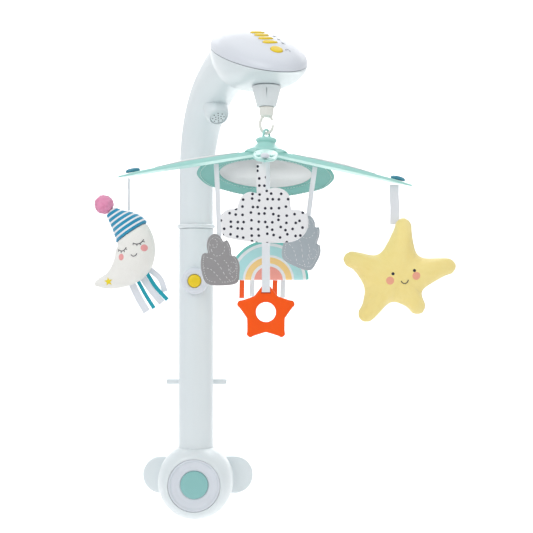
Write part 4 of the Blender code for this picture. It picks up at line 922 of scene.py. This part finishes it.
def build_toggles():
    for turn, name in LEAVES:
        out, side = leaf_axes(turn)
        _, thick = leaf_section(KNOB_R)
        rings = []
        for scale, height in ((0.82, 0), (0.95, 0.4), (1, 1.3), (0.97, 2.4), (0.86, 3.4),
                              (0.62, 4.1), (0.3, 4.5)):
            ring = []
            for k in range(36):
                a = 2 * pi * k / 36
                along = KNOB_R + 8 * MM * scale * cos(a)
                rise = leaf_bottom(along) + thick + 1.0 * MM + height * MM
                ring.append(CANOPY @ (out * along + side * (4.3 * MM * scale * sin(a))
                                      + UP * rise))
            rings.append(ring)
        # Painted highlight: the front toggle takes the pale lid colour, while the matching side
        # toggles stay dark blue.
        make("toggle_" + name, *loft(rings), LID if name == "front" else KNOB, "canopy",
             ["ribbon_knob_" + name], "lid" if name == "front" else "knob")


def mirror_point(out, turn, height=0.0):
    droop = max(out - MIRROR_R, 0) * RIM_DROOP
    x, y = out * cos(turn), MIRROR_CENTRE + out * sin(turn)
    normal = Vector((0, sin(MIRROR_SLOPE), cos(MIRROR_SLOPE)))
    level = MIRROR_DROP - y * tan(MIRROR_SLOPE)
    return CANOPY @ (Vector((x, y, level)) + normal * (height - droop))


def build_mirror():
    """A felt ring with two stitched lines round a disc of mirror film."""
    def ring(out, height, wave=0.0):
        return [mirror_point(out * MM, 2 * pi * k / 144,
                             height * MM + wave * MM * sin(9 * 2 * pi * k / 144)) for k in range(144)]

    look = felt("rim_felt", (0.15, 0.43, 0.39))
    look.shader.inputs["Sheen Weight"].default_value = 0.2
    profile = ((55.3, -0.9), (60, -1.0), (70, -1.1), (79, -1.0), (81.2, -0.7), (82, 0),
               (81.2, 0.7), (79, 1.0), (70, 1.1), (60, 1.0), (55.3, 0.9))
    rim = make("mirror_ring", *skin([ring(o, h, 0.5 * max(o - 60, 0) / 22) for o, h in profile],
                                    close=True), look.material, "canopy", ["mirror_rim"], "rim")
    notch = lathe([(0, -40), (24.8, -40), (24.8, 10), (0, 10)], Vector(), closed=False)
    strip = box((-0.06, -0.01, -0.04), (0.06, 0.0188, 0.01))
    carve(rim, [on_canopy(*notch), on_canopy(*strip)])
    # Painted reflection: the mirror film's grey base colour with faint clouds stands in for what it
    # reflects; its 0.3 metallic adds a little real reflection.
    mirror = Look("mirror_film", 0.4, Metallic=0.3)
    mirror.paint(mirror.mix(mirror.noise(14), (0.48, 0.51, 0.515), (0.52, 0.55, 0.555)))
    mirror.rough(mirror.maths("MULTIPLY_ADD", mirror.noise(40), 0.1, 0.35))
    mirror.bump(mirror.noise(30), 0.1, 0.0004)
    make("mirror_disc", *loft([ring(54.6, -0.8), ring(55, -0.5), ring(55, 0.5), ring(54.6, 0.8)]),
         mirror.material, "canopy", ["mirror"], "mirror")
    thread = flat("rim_thread", (0.62, 0.80, 0.77))
    dashes = []
    for out, count in ((59, 84), (78, 112)):
        for k in range(count):
            if out * sin(2 * pi * k / count) + 92 < 26:
                continue
            for face in (-1.3, 1.3):
                path = [mirror_point(out * MM, 2 * pi * (k + f) / count, face * MM
                                     + 0.5 * max(out - 60, 0) / 22 * MM
                                     * sin(9 * 2 * pi * (k + f) / count)) for f in (0, 0.3, 0.6)]
                dashes.append(tube(path, 0.3 * MM, 5))
    make("rim_stitching", *merge(*dashes), thread, "canopy")


# ---- soft goods ---------------------------------------------------------------------------
RIBBON = woven("satin_tape", (0.80, 0.82, 0.85), 1400.0, 0.4)
THREAD_DARK = flat("dark_thread", (0.035, 0.035, 0.05))
THREAD_WHITE = flat("white_thread", (0.85, 0.85, 0.86))
TAPE_START = 2.3


def joint_place(name):
    for joint in frame["joints"]:
        if joint["name"] == name:
            return Vector(joint["pos_m"])
    raise ValueError(name)


def stuff(obj, voxel, pressure, cap, frames=14):
    """Fill a sewn cover: remesh it, blow it up as cloth, and keep each point near its start."""
    mesher = obj.modifiers.new("mesher", "REMESH")
    mesher.mode = "VOXEL"
    mesher.voxel_size = voxel
    apply_modifiers(obj)
    start = [v.co.copy() for v in obj.data.vertices]
    cloth = obj.modifiers.new("cloth", "CLOTH")
    cloth.settings.quality = 5
    cloth.settings.mass = 0.2
    cloth.settings.tension_stiffness = 20
    cloth.settings.compression_stiffness = 20
    cloth.settings.bending_stiffness = 0.3
    cloth.settings.use_pressure = True
    cloth.settings.uniform_pressure_force = pressure
    cloth.settings.effector_weights.gravity = 0
    cloth.point_cache.frame_start = 1
    cloth.point_cache.frame_end = frames
    scene = bpy.context.scene
    for step in range(1, frames + 1):
        scene.frame_set(step)
    apply_modifiers(obj)
    scene.frame_set(1)
    for vertex, place in zip(obj.data.vertices, start):
        move = vertex.co - place
        if move.length > cap:
            vertex.co = place + move.normalized() * cap
    obj.modifiers.new("fine", "SUBSURF").levels = 1
    obj.modifiers["fine"].render_levels = 1
    apply_modifiers(obj)
    obj.data.shade_smooth()
    return obj


def pucker(obj, centre, outline_reach, depth, count, half):
    """Draw the cover in beside its seam with short folds that fade towards the middle."""
    for vertex in obj.data.vertices:
        place = vertex.co - centre
        angle = atan2(place.z, place.x)
        reach = outline_reach(angle)
        t = min(sqrt(place.x ** 2 + place.z ** 2) / reach, 1.0)
        fold = noise.noise(Vector((angle * count, t * 2.0, 1.7 if place.y > 0 else 4.2)))
        near_seam = max(0.0, 1 - abs(t - 0.86) / 0.2)
        vertex.co.y += (1 if place.y > 0 else -1) * fold * near_seam * depth
        vertex.co.y += noise.noise(place * 45) * half * 0.06
    return obj


def pillow(outline, centre, half, levels=14, power=2.2):
    """A stuffed shape: full in the middle, closing to its seam; outline in metres."""
    rings = []
    for side in (-1, 1):
        steps = range(1, levels + 1) if side < 0 else reversed(range(1, levels))
        for k in steps:
            scale = sin(pi / 2 * k / levels)
            depth = side * half * (1 - scale ** power) ** 0.62
            rings.append([centre + Vector((x * scale, depth, y * scale)) for x, y in outline])
    return loft(rings)


def front_of(obj):
    graph = bpy.context.evaluated_depsgraph_get()
    tree = BVHTree.FromObject(obj, graph)

    def at(x, z, proud=0.15, back=False):
        start = Vector((x * MM, 0.4 if back else -0.9, z * MM))
        hit = tree.ray_cast(start, -BACK if back else BACK)[0]
        if hit is None:
            return None
        return hit + BACK * ((proud if back else -proud) * MM)
    return at


def thread(at, points, radius=0.45, steps=5, **how):
    """A sewn line over a surface, through (x, z) points in mm."""
    path = [at(x, z, **how) for x, z in catmull(points, steps)]
    path = [p for p in path if p is not None]
    return tube(path, radius * MM, 6)


def patch(at, x, z, rx, rz=None, turn=0.0, count=24, rings=5):
    """A round embroidered patch that follows the surface under it."""
    rz = rz or rx
    rows = []
    for k in range(1, rings + 1):
        row = []
        for j in range(count):
            a, r = 2 * pi * j / count, k / rings
            u, v = rx * r * cos(a), rz * r * sin(a)
            point = at(x + u * cos(turn) - v * sin(turn), z + u * sin(turn) + v * cos(turn),
                       0.28 if k < rings else 0.02)
            row.append(point)
        rows.append(row)
    return skin([[at(x, z, 0.28)]] + rows)


def tape(name, stations, width, look, body, replaced=(), slot="ribbon", thick=0.7, across=RIGHT):
    """A woven tape through a list of points, its selvedges a little thicker than its middle."""
    run = [Vector(p) for p in catmull([tuple(p) for p in stations], 6)]
    rings = []
    for k, point in enumerate(run):
        before, after = run[max(k - 1, 0)], run[min(k + 1, len(run) - 1)]
        tangent = (after - before).normalized()
        side = (across - tangent * across.dot(tangent)).normalized()
        face = tangent.cross(side)
        ring = []
        shape = [(-1, 0), (-0.96, 0.5), (-0.88, 0.5), (-0.8, 0.32), (0, 0.32), (0.8, 0.32),
                 (0.88, 0.5), (0.96, 0.5), (1, 0)]
        for u, v in shape + [(u, -v) for u, v in reversed(shape[1:-1])]:
            ring.append(point + side * (u * width / 2) + face * (v * thick * MM))
        rings.append(ring)
    made = make(name, *loft(rings), look, body, replaced, slot)
    return made


def reach_of(outline):
    """How far an outline goes from its middle, by angle."""
    table = sorted((atan2(y, x), sqrt(x * x + y * y)) for x, y in outline)

    def reach(angle):
        return min(table, key=lambda item: abs(item[0] - angle))[1]
    return reach


def hang(top, foot, bow=0.5):
    """A tape's points, from just under its pivot to its foot, bowed back by bow mm."""
    return top - UP * TAPE_START * MM, (top + foot) / 2 + BACK * bow * MM, foot


def build_star():
    tips = ((246.6, 209.7), (179.6, 166.8), (198.7, 96.6), (265.4, 104.4), (303.3, 157.8))
    valleys = ((218.7, 170.1), (201.5, 133.4), (232, 116.6), (267.7, 131.1), (262.2, 167.9))
    middle = Vector((238.7, 147.0))
    points = []
    for tip, valley in zip(tips, valleys):
        spot = Vector(tip) - middle
        along = spot.normalized()
        side = Vector((-along.y, along.x))
        for back, out in ((15, -10.4), (5.0, -8.2), (-0.2, 0), (5.0, 8.2), (15, 10.4)):
            points.append((spot - along * back + side * out))
        points.append(Vector(valley) - middle)
    outline = [(x * MM, y * MM) for x, y in closed_curve([tuple(p) for p in points], 4)]
    top = joint_place("star_swing")
    centre = Vector((middle.x * MM, top.y, middle.y * MM))
    look = plush("star_velour", (0.98, 0.84, 0.38), (0.93, 0.74, 0.24))
    star = make("star_cushion", *pillow(outline, centre, 18 * MM), look.material, None)
    stuff(star, 0.0024, 3.5, 0.0035)
    pucker(star, centre, reach_of(outline), 1.6 * MM, 9, 18 * MM)
    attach(star, "star")
    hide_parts("star_plush")
    at = front_of(star)
    lines = [thread(at, ((240.2, 140.2), (242.0, 138.0), (244.4, 137.4), (246.8, 138.8),
                         (248.2, 141.4)), 0.5)]
    lines += [patch(at, 231.5, 147.9, 1.7), patch(at, 254.6, 151.4, 1.7)]
    make("star_face", *merge(*lines), THREAD_DARK, "star")
    make("star_cheeks", *merge(patch(at, 228.4, 140.6, 4.3), patch(at, 256.7, 145.7, 4.3)),
         flat("cheek_thread", (0.93, 0.42, 0.28)), "star")
    z = 196 * MM
    tape("star_tape", (top - UP * TAPE_START * MM, top - UP * 16 * MM + BACK * 0.4 * MM,
                       Vector((top.x + 0.8 * MM, top.y, 0.5 * (top.z + z))),
                       Vector((top.x + 0.5 * MM, top.y, z + 6 * MM))), 10.4 * MM,
         RIBBON.material, "star", ["star_ribbon"])


MOON_SPINE = ((-92.2, 136.2, 1.6), (-84.7, 138.3, 6.0), (-73.3, 140.9, 9.9), (-60.2, 149.2, 16.6),
              (-49.8, 161.8, 21.6), (-46.3, 178.5, 20.6), (-50.8, 193.5, 19.2),
              (-58.5, 202, 15.8), (-67, 209.3, 10.6), (-74.3, 216.6, 6.3))
COTTON_SEED = 7
BRIM_TURN = radians(34.4)
BRIM_POINT = Vector((-50.4 * MM, 0, 193.4 * MM))
BRIM_UP = Vector((-sin(BRIM_TURN), 0, cos(BRIM_TURN)))
BRIM_ALONG = Vector((cos(BRIM_TURN), 0, sin(BRIM_TURN)))


def round_sweep(spine, steps, flatness, y, sides=48):
    run = catmull(spine, steps)
    rings = []
    for k, (x, z, half) in enumerate(run):
        before, after = run[max(k - 1, 0)], run[min(k + 1, len(run) - 1)]
        tangent = Vector((after[0] - before[0], 0, after[1] - before[1])).normalized()
        normal = BACK.cross(tangent)
        centre = Vector((x * MM, y, z * MM))
        rings.append([centre + (normal * cos(2 * pi * j / sides) * half
                                + BACK * sin(2 * pi * j / sides) * half * flatness) * MM
                      for j in range(sides)])
    return loft(rings)


def brim_block(y, low, high):
    middle = BRIM_POINT + BACK * y
    corners, faces = box((-60 * MM, -60 * MM, low * MM), (60 * MM, 60 * MM, high * MM))
    return [middle + BRIM_ALONG * p.x + BACK * p.y + BRIM_UP * p.z for p in corners], faces


def build_moon():
    top = joint_place("moon_swing")
    look = plush("moon_cotton", (0.93, 0.925, 0.885), (0.87, 0.86, 0.81))
    body = make("moon_body", *round_sweep(MOON_SPINE[:8], 8, 0.86, top.y), look.material, None)
    carve(body, [brim_block(top.y, -0.1, 80)])
    stuff(body, 0.0019, 1.5, 0.0012)
    noise.seed_set(COTTON_SEED)
    for vertex in body.data.vertices:
        vertex.co += noise.noise_vector(vertex.co * 55) * 0.45 * MM
    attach(body, "moon")
    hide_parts("moon_plush")
    build_hat(top)
    at = front_of(body)
    lines = [thread(at, ((-63.9, 174.0), (-60.2, 172.4), (-57, 173.2), (-54.6, 176.4)), 0.42),
             thread(at, ((-47.3, 180.9), (-43.4, 179.8), (-39.2, 181.0), (-36.0, 184.8)), 0.42),
             thread(at, ((-49.3, 168.4), (-47.0, 166.8), (-44.6, 167.4), (-42.9, 169.8)), 0.42)]
    lashes = (((-63.2, 173.6), (-64.0, 171.9)), ((-60.4, 172.5), (-60.3, 170.4)),
              ((-57.4, 173), (-56.2, 171.2)), ((-55.6, 174.8), (-53.6, 173.9)),
              ((-46.6, 180.6), (-47.2, 178.6)), ((-43.2, 179.9), (-42.8, 177.8)),
              ((-40.0, 180.6), (-38.7, 178.9)), ((-37.2, 182.8), (-34.9, 182.2)))
    lines += [thread(at, (a, ((a[0] + b[0]) / 2, (a[1] + b[1]) / 2), b), 0.36, 2)
              for a, b in lashes]
    make("moon_face", *merge(*lines), THREAD_DARK, "moon")
    make("moon_cheeks", *merge(patch(at, -60.2, 165.9, 3.0, 3.6), patch(at, -35.5, 175.8, 3.7)),
         flat("cheek_pink", (0.90, 0.38, 0.38)), "moon")
    star = [(5.0 * (1 if k % 2 == 0 else 0.45) * cos(radians(36 * k + 98)),
             5.0 * (1 if k % 2 == 0 else 0.45) * sin(radians(36 * k + 98))) for k in range(10)]
    rows = []
    for scale, proud in ((0.35, 0.5), (0.7, 0.5), (1.0, 0.1)):
        rows.append([at(-75.1 + x * scale, 139.6 + y * scale, proud) for x, y in star])
    make("moon_star", *skin([[at(-75.1, 139.6, 0.5)]] + rows), flat("star_thread",
                                                                  (0.93, 0.74, 0.02)), "moon")
    foot = Vector((top.x, top.y, 217 * MM))
    tape("moon_tape", hang(top, foot), 4.8 * MM, RIBBON.material, "moon", ["moon_ribbon"],
         across=(RIGHT * 0.25 + BACK).normalized())
    build_moon_tassels(top.y)


def build_hat(top):
    look = Look("hat_jersey", 0.85, Sheen_Weight=0.4, Sheen_Roughness=0.5)
    height = look.axis(BRIM_UP, BRIM_POINT)
    stripe = look.maths("FRACT", look.maths("MULTIPLY", look.maths("ADD", height, 0.0006), 178.0))
    blue = look.mix(look.noise(90, 4.0), (0.0, 0.23, 0.42), (0.015, 0.34, 0.56))
    white = look.mix(look.noise(120), (0.78, 0.80, 0.83), (0.86, 0.87, 0.89))
    look.paint(look.mix(look.maths("LESS_THAN", stripe, 0.62), white, blue))
    knit = look.maths("MULTIPLY", look.wave(BRIM_UP, 9000.0), look.wave(BRIM_ALONG, 9000.0))
    look.bump(knit, 0.25, 0.0002)
    wide = [(x, z, half + (1.0 if half > 12 else 0.3)) for x, z, half in MOON_SPINE[4:]]
    hat = make("moon_cap", *round_sweep(wide, 10, 0.88, top.y), look.material, None)
    carve(hat, [brim_block(top.y, -80, 0.1)])
    stuff(hat, 0.0016, 1.0, 0.0008)
    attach(hat, "moon")
    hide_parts("moon_hat")
    wool = Look("pompom_wool", 0.95, Sheen_Weight=0.6)
    wool.paint(wool.mix(wool.noise(160, 5.0), (0.85, 0.20, 0.42), (0.95, 0.42, 0.62)))
    wool.bump(wool.noise(900, 5.0, 0.7), 0.8, 0.001)
    centre = Vector((-81.4 * MM, top.y, 223.7 * MM))
    pompom = make("moon_pompom", *lathe(
        catmull([(0.001, -10.2), (4, -9.4), (7.3, -7.2), (9.4, -4), (10.2, 0), (9.4, 4),
                 (7.3, 7.2), (4, 9.4), (0.001, 10.2)], 4), centre, UP, 48, False),
        wool.material, None)
    for vertex in pompom.data.vertices:
        way = (vertex.co - centre).normalized()
        vertex.co += way * noise.fractal(way * 6, 1.0, 2.0, 4) * 1.1 * MM
    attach(pompom, "moon")


def build_moon_tassels(y):
    """Five flat tapes sewn into the moon's lower seam."""
    teal = woven("teal_tape", (0.0, 0.36, 0.45), 1500.0, 0.4)
    pale = woven("pale_tape", (0.80, 0.83, 0.88), 1500.0, 0.4)
    plan = (((-50.5, 136.6), (-43.0, 121.5), (-34.5, 106.6), 8.2, 0.8, pale),
            ((-44.6, 141.4), (-35.5, 124.6), (-26.4, 110.6), 4.2, -0.8, teal),
            ((-39.6, 144.6), (-29.0, 129.4), (-18.0, 116.4), 7.6, 1.6, pale),
            ((-34.2, 148.6), (-24.5, 133.5), (-11.8, 119.8), 4.4, -1.6, teal),
            ((-31.4, 152.6), (-20.0, 142.5), (-15.0, 128.5), 6.4, 2.4, pale))
    for number, (a, b, c, width, depth, look) in enumerate(plan, 1):
        points = [Vector((x * MM, y + (depth + lift) * MM, z * MM))
                  for (x, z), lift in ((a, 0), (b, 1.2 * (-1) ** number), (c, -0.6))]
        across = (points[2] - points[0]).normalized().cross(BACK)
        tape(f"moon_tassel_{number}", points, width * MM, look.material, "moon",
             ["moon_tassels"] if number == 1 else (), across=across)


# ---- flat toys ----------------------------------------------------------------------------
def cloud_outline(edge, turn=0.0):
    return [((x * cos(turn) - y * sin(turn)) * MM, (x * sin(turn) + y * cos(turn)) * MM)
            for x, y in closed_curve(edge, 8)]


DOTTED_EDGE = ((-27.1, -22.3), (-15.3, -24.3), (3, -25.8), (24.9, -25.6), (35.8, -21.9),
               (42.2, -15), (44.2, -5.5), (41.3, 1.8), (34.9, 5.1), (28.2, 5.8), (27.1, 16),
               (22.1, 22.8), (13, 25.5), (3, 22.8), (-1, 18.2), (-4.7, 20.4), (-12, 21.3),
               (-18.9, 16.7), (-22, 9.1), (-23.5, 6.2), (-31.7, 5.1), (-37.2, -0.1), (-37.5, -9.2),
               (-35.3, -19.2))
GREY_EDGE = ((2.1, -28.8), (18, -26), (20.9, -14.8), (20.5, -4.2), (16.5, 3.2), (12.7, 4.2),
             (11.2, 13.7), (7.4, 20.7), (3.4, 19.5), (0, 24.7), (-6.3, 27.9), (-12.7, 23.3),
             (-14.8, 14.8), (-13.7, 7), (-17.8, 6.6), (-20.7, 2.1), (-20.7, -11.6), (-14.8, -26.4))


def dotted_look():
    look = woven("dotted_cotton", (0.86, 0.865, 0.875), 1500.0, 0.2)
    cloth = look.shader.inputs["Base Color"].links[0].from_socket
    spot = look.maths("LESS_THAN", look.spots(150.0, 0.55), 0.195)
    look.paint(look.mix(spot, cloth, (0.012, 0.012, 0.03)))
    return look.material


def build_dotted():
    top = joint_place("dotted_swing")
    centre = Vector((top.x, top.y, 201.3 * MM))
    outline = cloud_outline(DOTTED_EDGE)
    look = dotted_look()
    cloud = make("dotted_cushion", *slab(outline, centre, RIGHT, UP, 5.2 * MM, 2.0 * MM, 6), look,
                 "dotted", ["dotted_cloud"], "cloud")
    foot = Vector((top.x, top.y, 219.5 * MM))
    tape("dotted_tape", hang(top, foot, 0.4), 8.6 * MM, look, "dotted", ["dotted_ribbon"])


def grey_stitches(outline, centre, y, turn):
    """Running stitches that follow the cloud's edge and curl inside it."""
    curls = [[(x / MM * 0.87, z / MM * 0.87) for x, z in outline[::3]]]
    shapes = (((-14.8, 2.1), (-6.3, -1.1), (0, -8.5), (6.3, -19), (11.5, -24)),
              ((-17.6, -9.5), (-10.6, -11), (-4.2, -16.9), (1.5, -24)),
              ((11.6, -3.2), (15.9, -4.2), (17.3, -9.5), (13.7, -14.4), (10.6, -11.6),
               (12.7, -8.5)),
              ((-11.6, 16.9), (-7.4, 5.3), (-1.1, 3.8), (4.2, 8.5), (4.7, 15)),
              ((-8.5, 22.3), (-3.8, 20.2), (-3.8, 13.7), (-7.4, 12.7), (-8, 16.9)),
              ((4.2, -1.1), (8.5, -6.3), (10.2, -14.8), (14.8, -21.2)))
    for shape in shapes:
        curls.append([(x * cos(turn) - z * sin(turn), x * sin(turn) + z * cos(turn))
                      for x, z in shape])
    dashes = []
    for curl in curls:
        run = catmull(curl, 8)
        for k in range(0, len(run) - 4, 4):
            for side in (-1, 1):
                path = [centre + Vector((x * MM, side * y, z * MM)) for x, z in run[k:k + 3]]
                if (path[-1] - path[0]).length > 0.4 * MM:
                    dashes.append(tube(path, 0.27 * MM, 5))
    return merge(*dashes)


def build_grey(side, tone_colour, shift, height, turn):
    top = joint_place(f"grey_{side}_swing")
    centre = Vector((top.x + shift * MM, top.y, height * MM))
    outline = cloud_outline(GREY_EDGE, turn)
    look = felt("grey_felt_" + side, tone_colour)
    body = "grey_" + side
    cloud = make("felt_cloud_" + side, *slab(outline, centre, RIGHT, UP, 4.4 * MM, 1.4 * MM, 5),
                 look.material, body, ["grey_cloud_" + side], "grey")
    make("felt_stitches_" + side, *grey_stitches(outline, centre, 2.3 * MM, turn), THREAD_WHITE,
         body)
    lean = (centre.x - top.x) / (centre.z - top.z)
    foot_z = centre.z + 24.5 * MM
    foot = Vector((top.x + lean * (foot_z - top.z), top.y, foot_z))
    tape("felt_tape_" + side, hang(top, foot), 5.4 * MM, RIBBON.material, body,
         ["grey_ribbon_" + side])


def build_rainbow():
    top = joint_place("rainbow_swing")
    base = Vector((top.x + 4 * MM, top.y, 141 * MM))
    outer = [(53 * cos(pi * k / 60), 53 * sin(pi * k / 60)) for k in range(61)]
    outline = outer + [(-53 + 106 * k / 24, 0) for k in range(1, 24)]
    outline = [(x * MM, (y - 22) * MM) for x, y in outline]
    look = Look("rainbow_cotton", 0.8, Sheen_Weight=0.3)
    radius = look.maths("MULTIPLY", look.distance(base, (1, 0, 1)), 1 / 0.055)
    white, teal, aqua = (0.80, 0.83, 0.86), (0.13, 0.58, 0.53), (0.40, 0.74, 0.76)
    bands = look.ramp(radius, ((0, (0.86, 0.30, 0.24)), (0.33, white), (0.40, (0.93, 0.62, 0.20)),
                               (0.54, white), (0.59, aqua), (0.80, white), (0.87, teal)))
    weave = look.maths("MULTIPLY", look.wave((0.7, 0, 0.7), 5200.0),
                       look.wave((0.7, 0, -0.7), 5200.0))
    look.paint(look.mix(look.maths("MULTIPLY_ADD", weave, 0.06, 0.08), bands, (1.0, 1.0, 1.0)))
    look.bump(weave, 0.2, 0.0001)
    centre = base + UP * 22 * MM
    cushion = make("rainbow_pad", *pillow(outline, centre, 6.4 * MM, 10), look.material, None)
    stuff(cushion, 0.0022, 1.5, 0.0012)
    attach(cushion, "rainbow")
    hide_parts("rainbow_cushion")
    foot = Vector((top.x, top.y, 193 * MM))
    tape("rainbow_tape", hang(top, foot, 0), 9 * MM, RIBBON.material, "rainbow",
         ["rainbow_ribbon"])
    orange = woven("orange_tape", (0.98, 0.10, 0.005), 1500.0)
    for number, (x, low, cloth) in enumerate(((-33.7, 119, orange), (-20.6, 121, RIBBON),
                                              (8.4, 122, orange), (18.4, 119.5, RIBBON)), 1):
        a = base + Vector((x * MM, 0, 0.8 * MM))
        b = Vector((a.x - 0.5 * MM, a.y + 1.2 * MM, low * MM))
        tape(f"rainbow_tassel_{number}", (a, (a + b) / 2 - BACK * MM, b), 6.3 * MM, cloth.material,
             "rainbow", ["rainbow_tassels"] if number == 1 else ())


def build_teether():
    top = joint_place("teether_swing")
    centre = Vector((top.x, top.y, 106.5 * MM))
    points = []
    for k in range(5):
        tip = radians(90 + 72 * k)
        for r, a in ((28.4, -9.5), (31.6, -5), (32.4, 0), (31.6, 5), (28.4, 9.5)):
            points.append((r * MM * cos(tip + radians(a)), r * MM * sin(tip + radians(a))))
        valley = tip + radians(36)
        for r, a in ((22.3, -6), (21.7, 0), (22.3, 6)):
            points.append((r * MM * cos(valley + radians(a)), r * MM * sin(valley + radians(a))))
    outline = closed_curve(points, 3)
    look = Look("teether_silicone", 0.55, Subsurface_Weight=0.05, Subsurface_Scale=0.004,
                Specular_IOR_Level=0.25)
    look.paint(look.mix(look.noise(40), (0.97, 0.09, 0.002), (1.0, 0.115, 0.004)))
    look.rough(look.maths("MULTIPLY_ADD", look.noise(90, 4.0), 0.16, 0.34))
    look.bump(look.noise(1500, 2.0), 0.08, 0.0001)
    make("teether_ring", *slab(outline, centre, RIGHT, UP, 11 * MM, 2.6 * MM, 6, 10.8 * MM),
         look.material, "teether", ["teether_star"], "orange")
    slot = slab([(-5.2 * MM, -0.7 * MM), (5.2 * MM, -0.7 * MM), (5.2 * MM, 0.7 * MM),
                 (-5.2 * MM, 0.7 * MM)], Vector((centre.x, centre.y, centre.z + 21 * MM)),
                RIGHT, UP, 11.3 * MM, 0.2 * MM, 2)
    make("teether_slot", *slot, plastic("slot_shade", (0.45, 0.03, 0.0), 0.8, 0.0), "teether")
    front = centre.y - 6.1 * MM
    low = centre.z + 21.6 * MM
    stations = (top - UP * TAPE_START * MM, Vector((top.x, top.y, 0.2)),
                Vector((top.x, centre.y - 0.6 * MM, centre.z + 42 * MM)),
                Vector((top.x, front, centre.z + 30 * MM)), Vector((top.x, front, low)))
    tape("teether_tape", stations, 8.8 * MM, RIBBON.material, "teether", ["teether_ribbon"])


build_studio()
build_post()
build_arm()
build_head()
build_spindle()
build_canopy()
build_star()
build_moon()
build_dotted()
build_grey("left", (0.33, 0.32, 0.325), shift=4.5, height=164, turn=0.0)
build_grey("right", (0.42, 0.47, 0.505), shift=-11, height=183, turn=radians(-25))
build_rainbow()
build_teether()
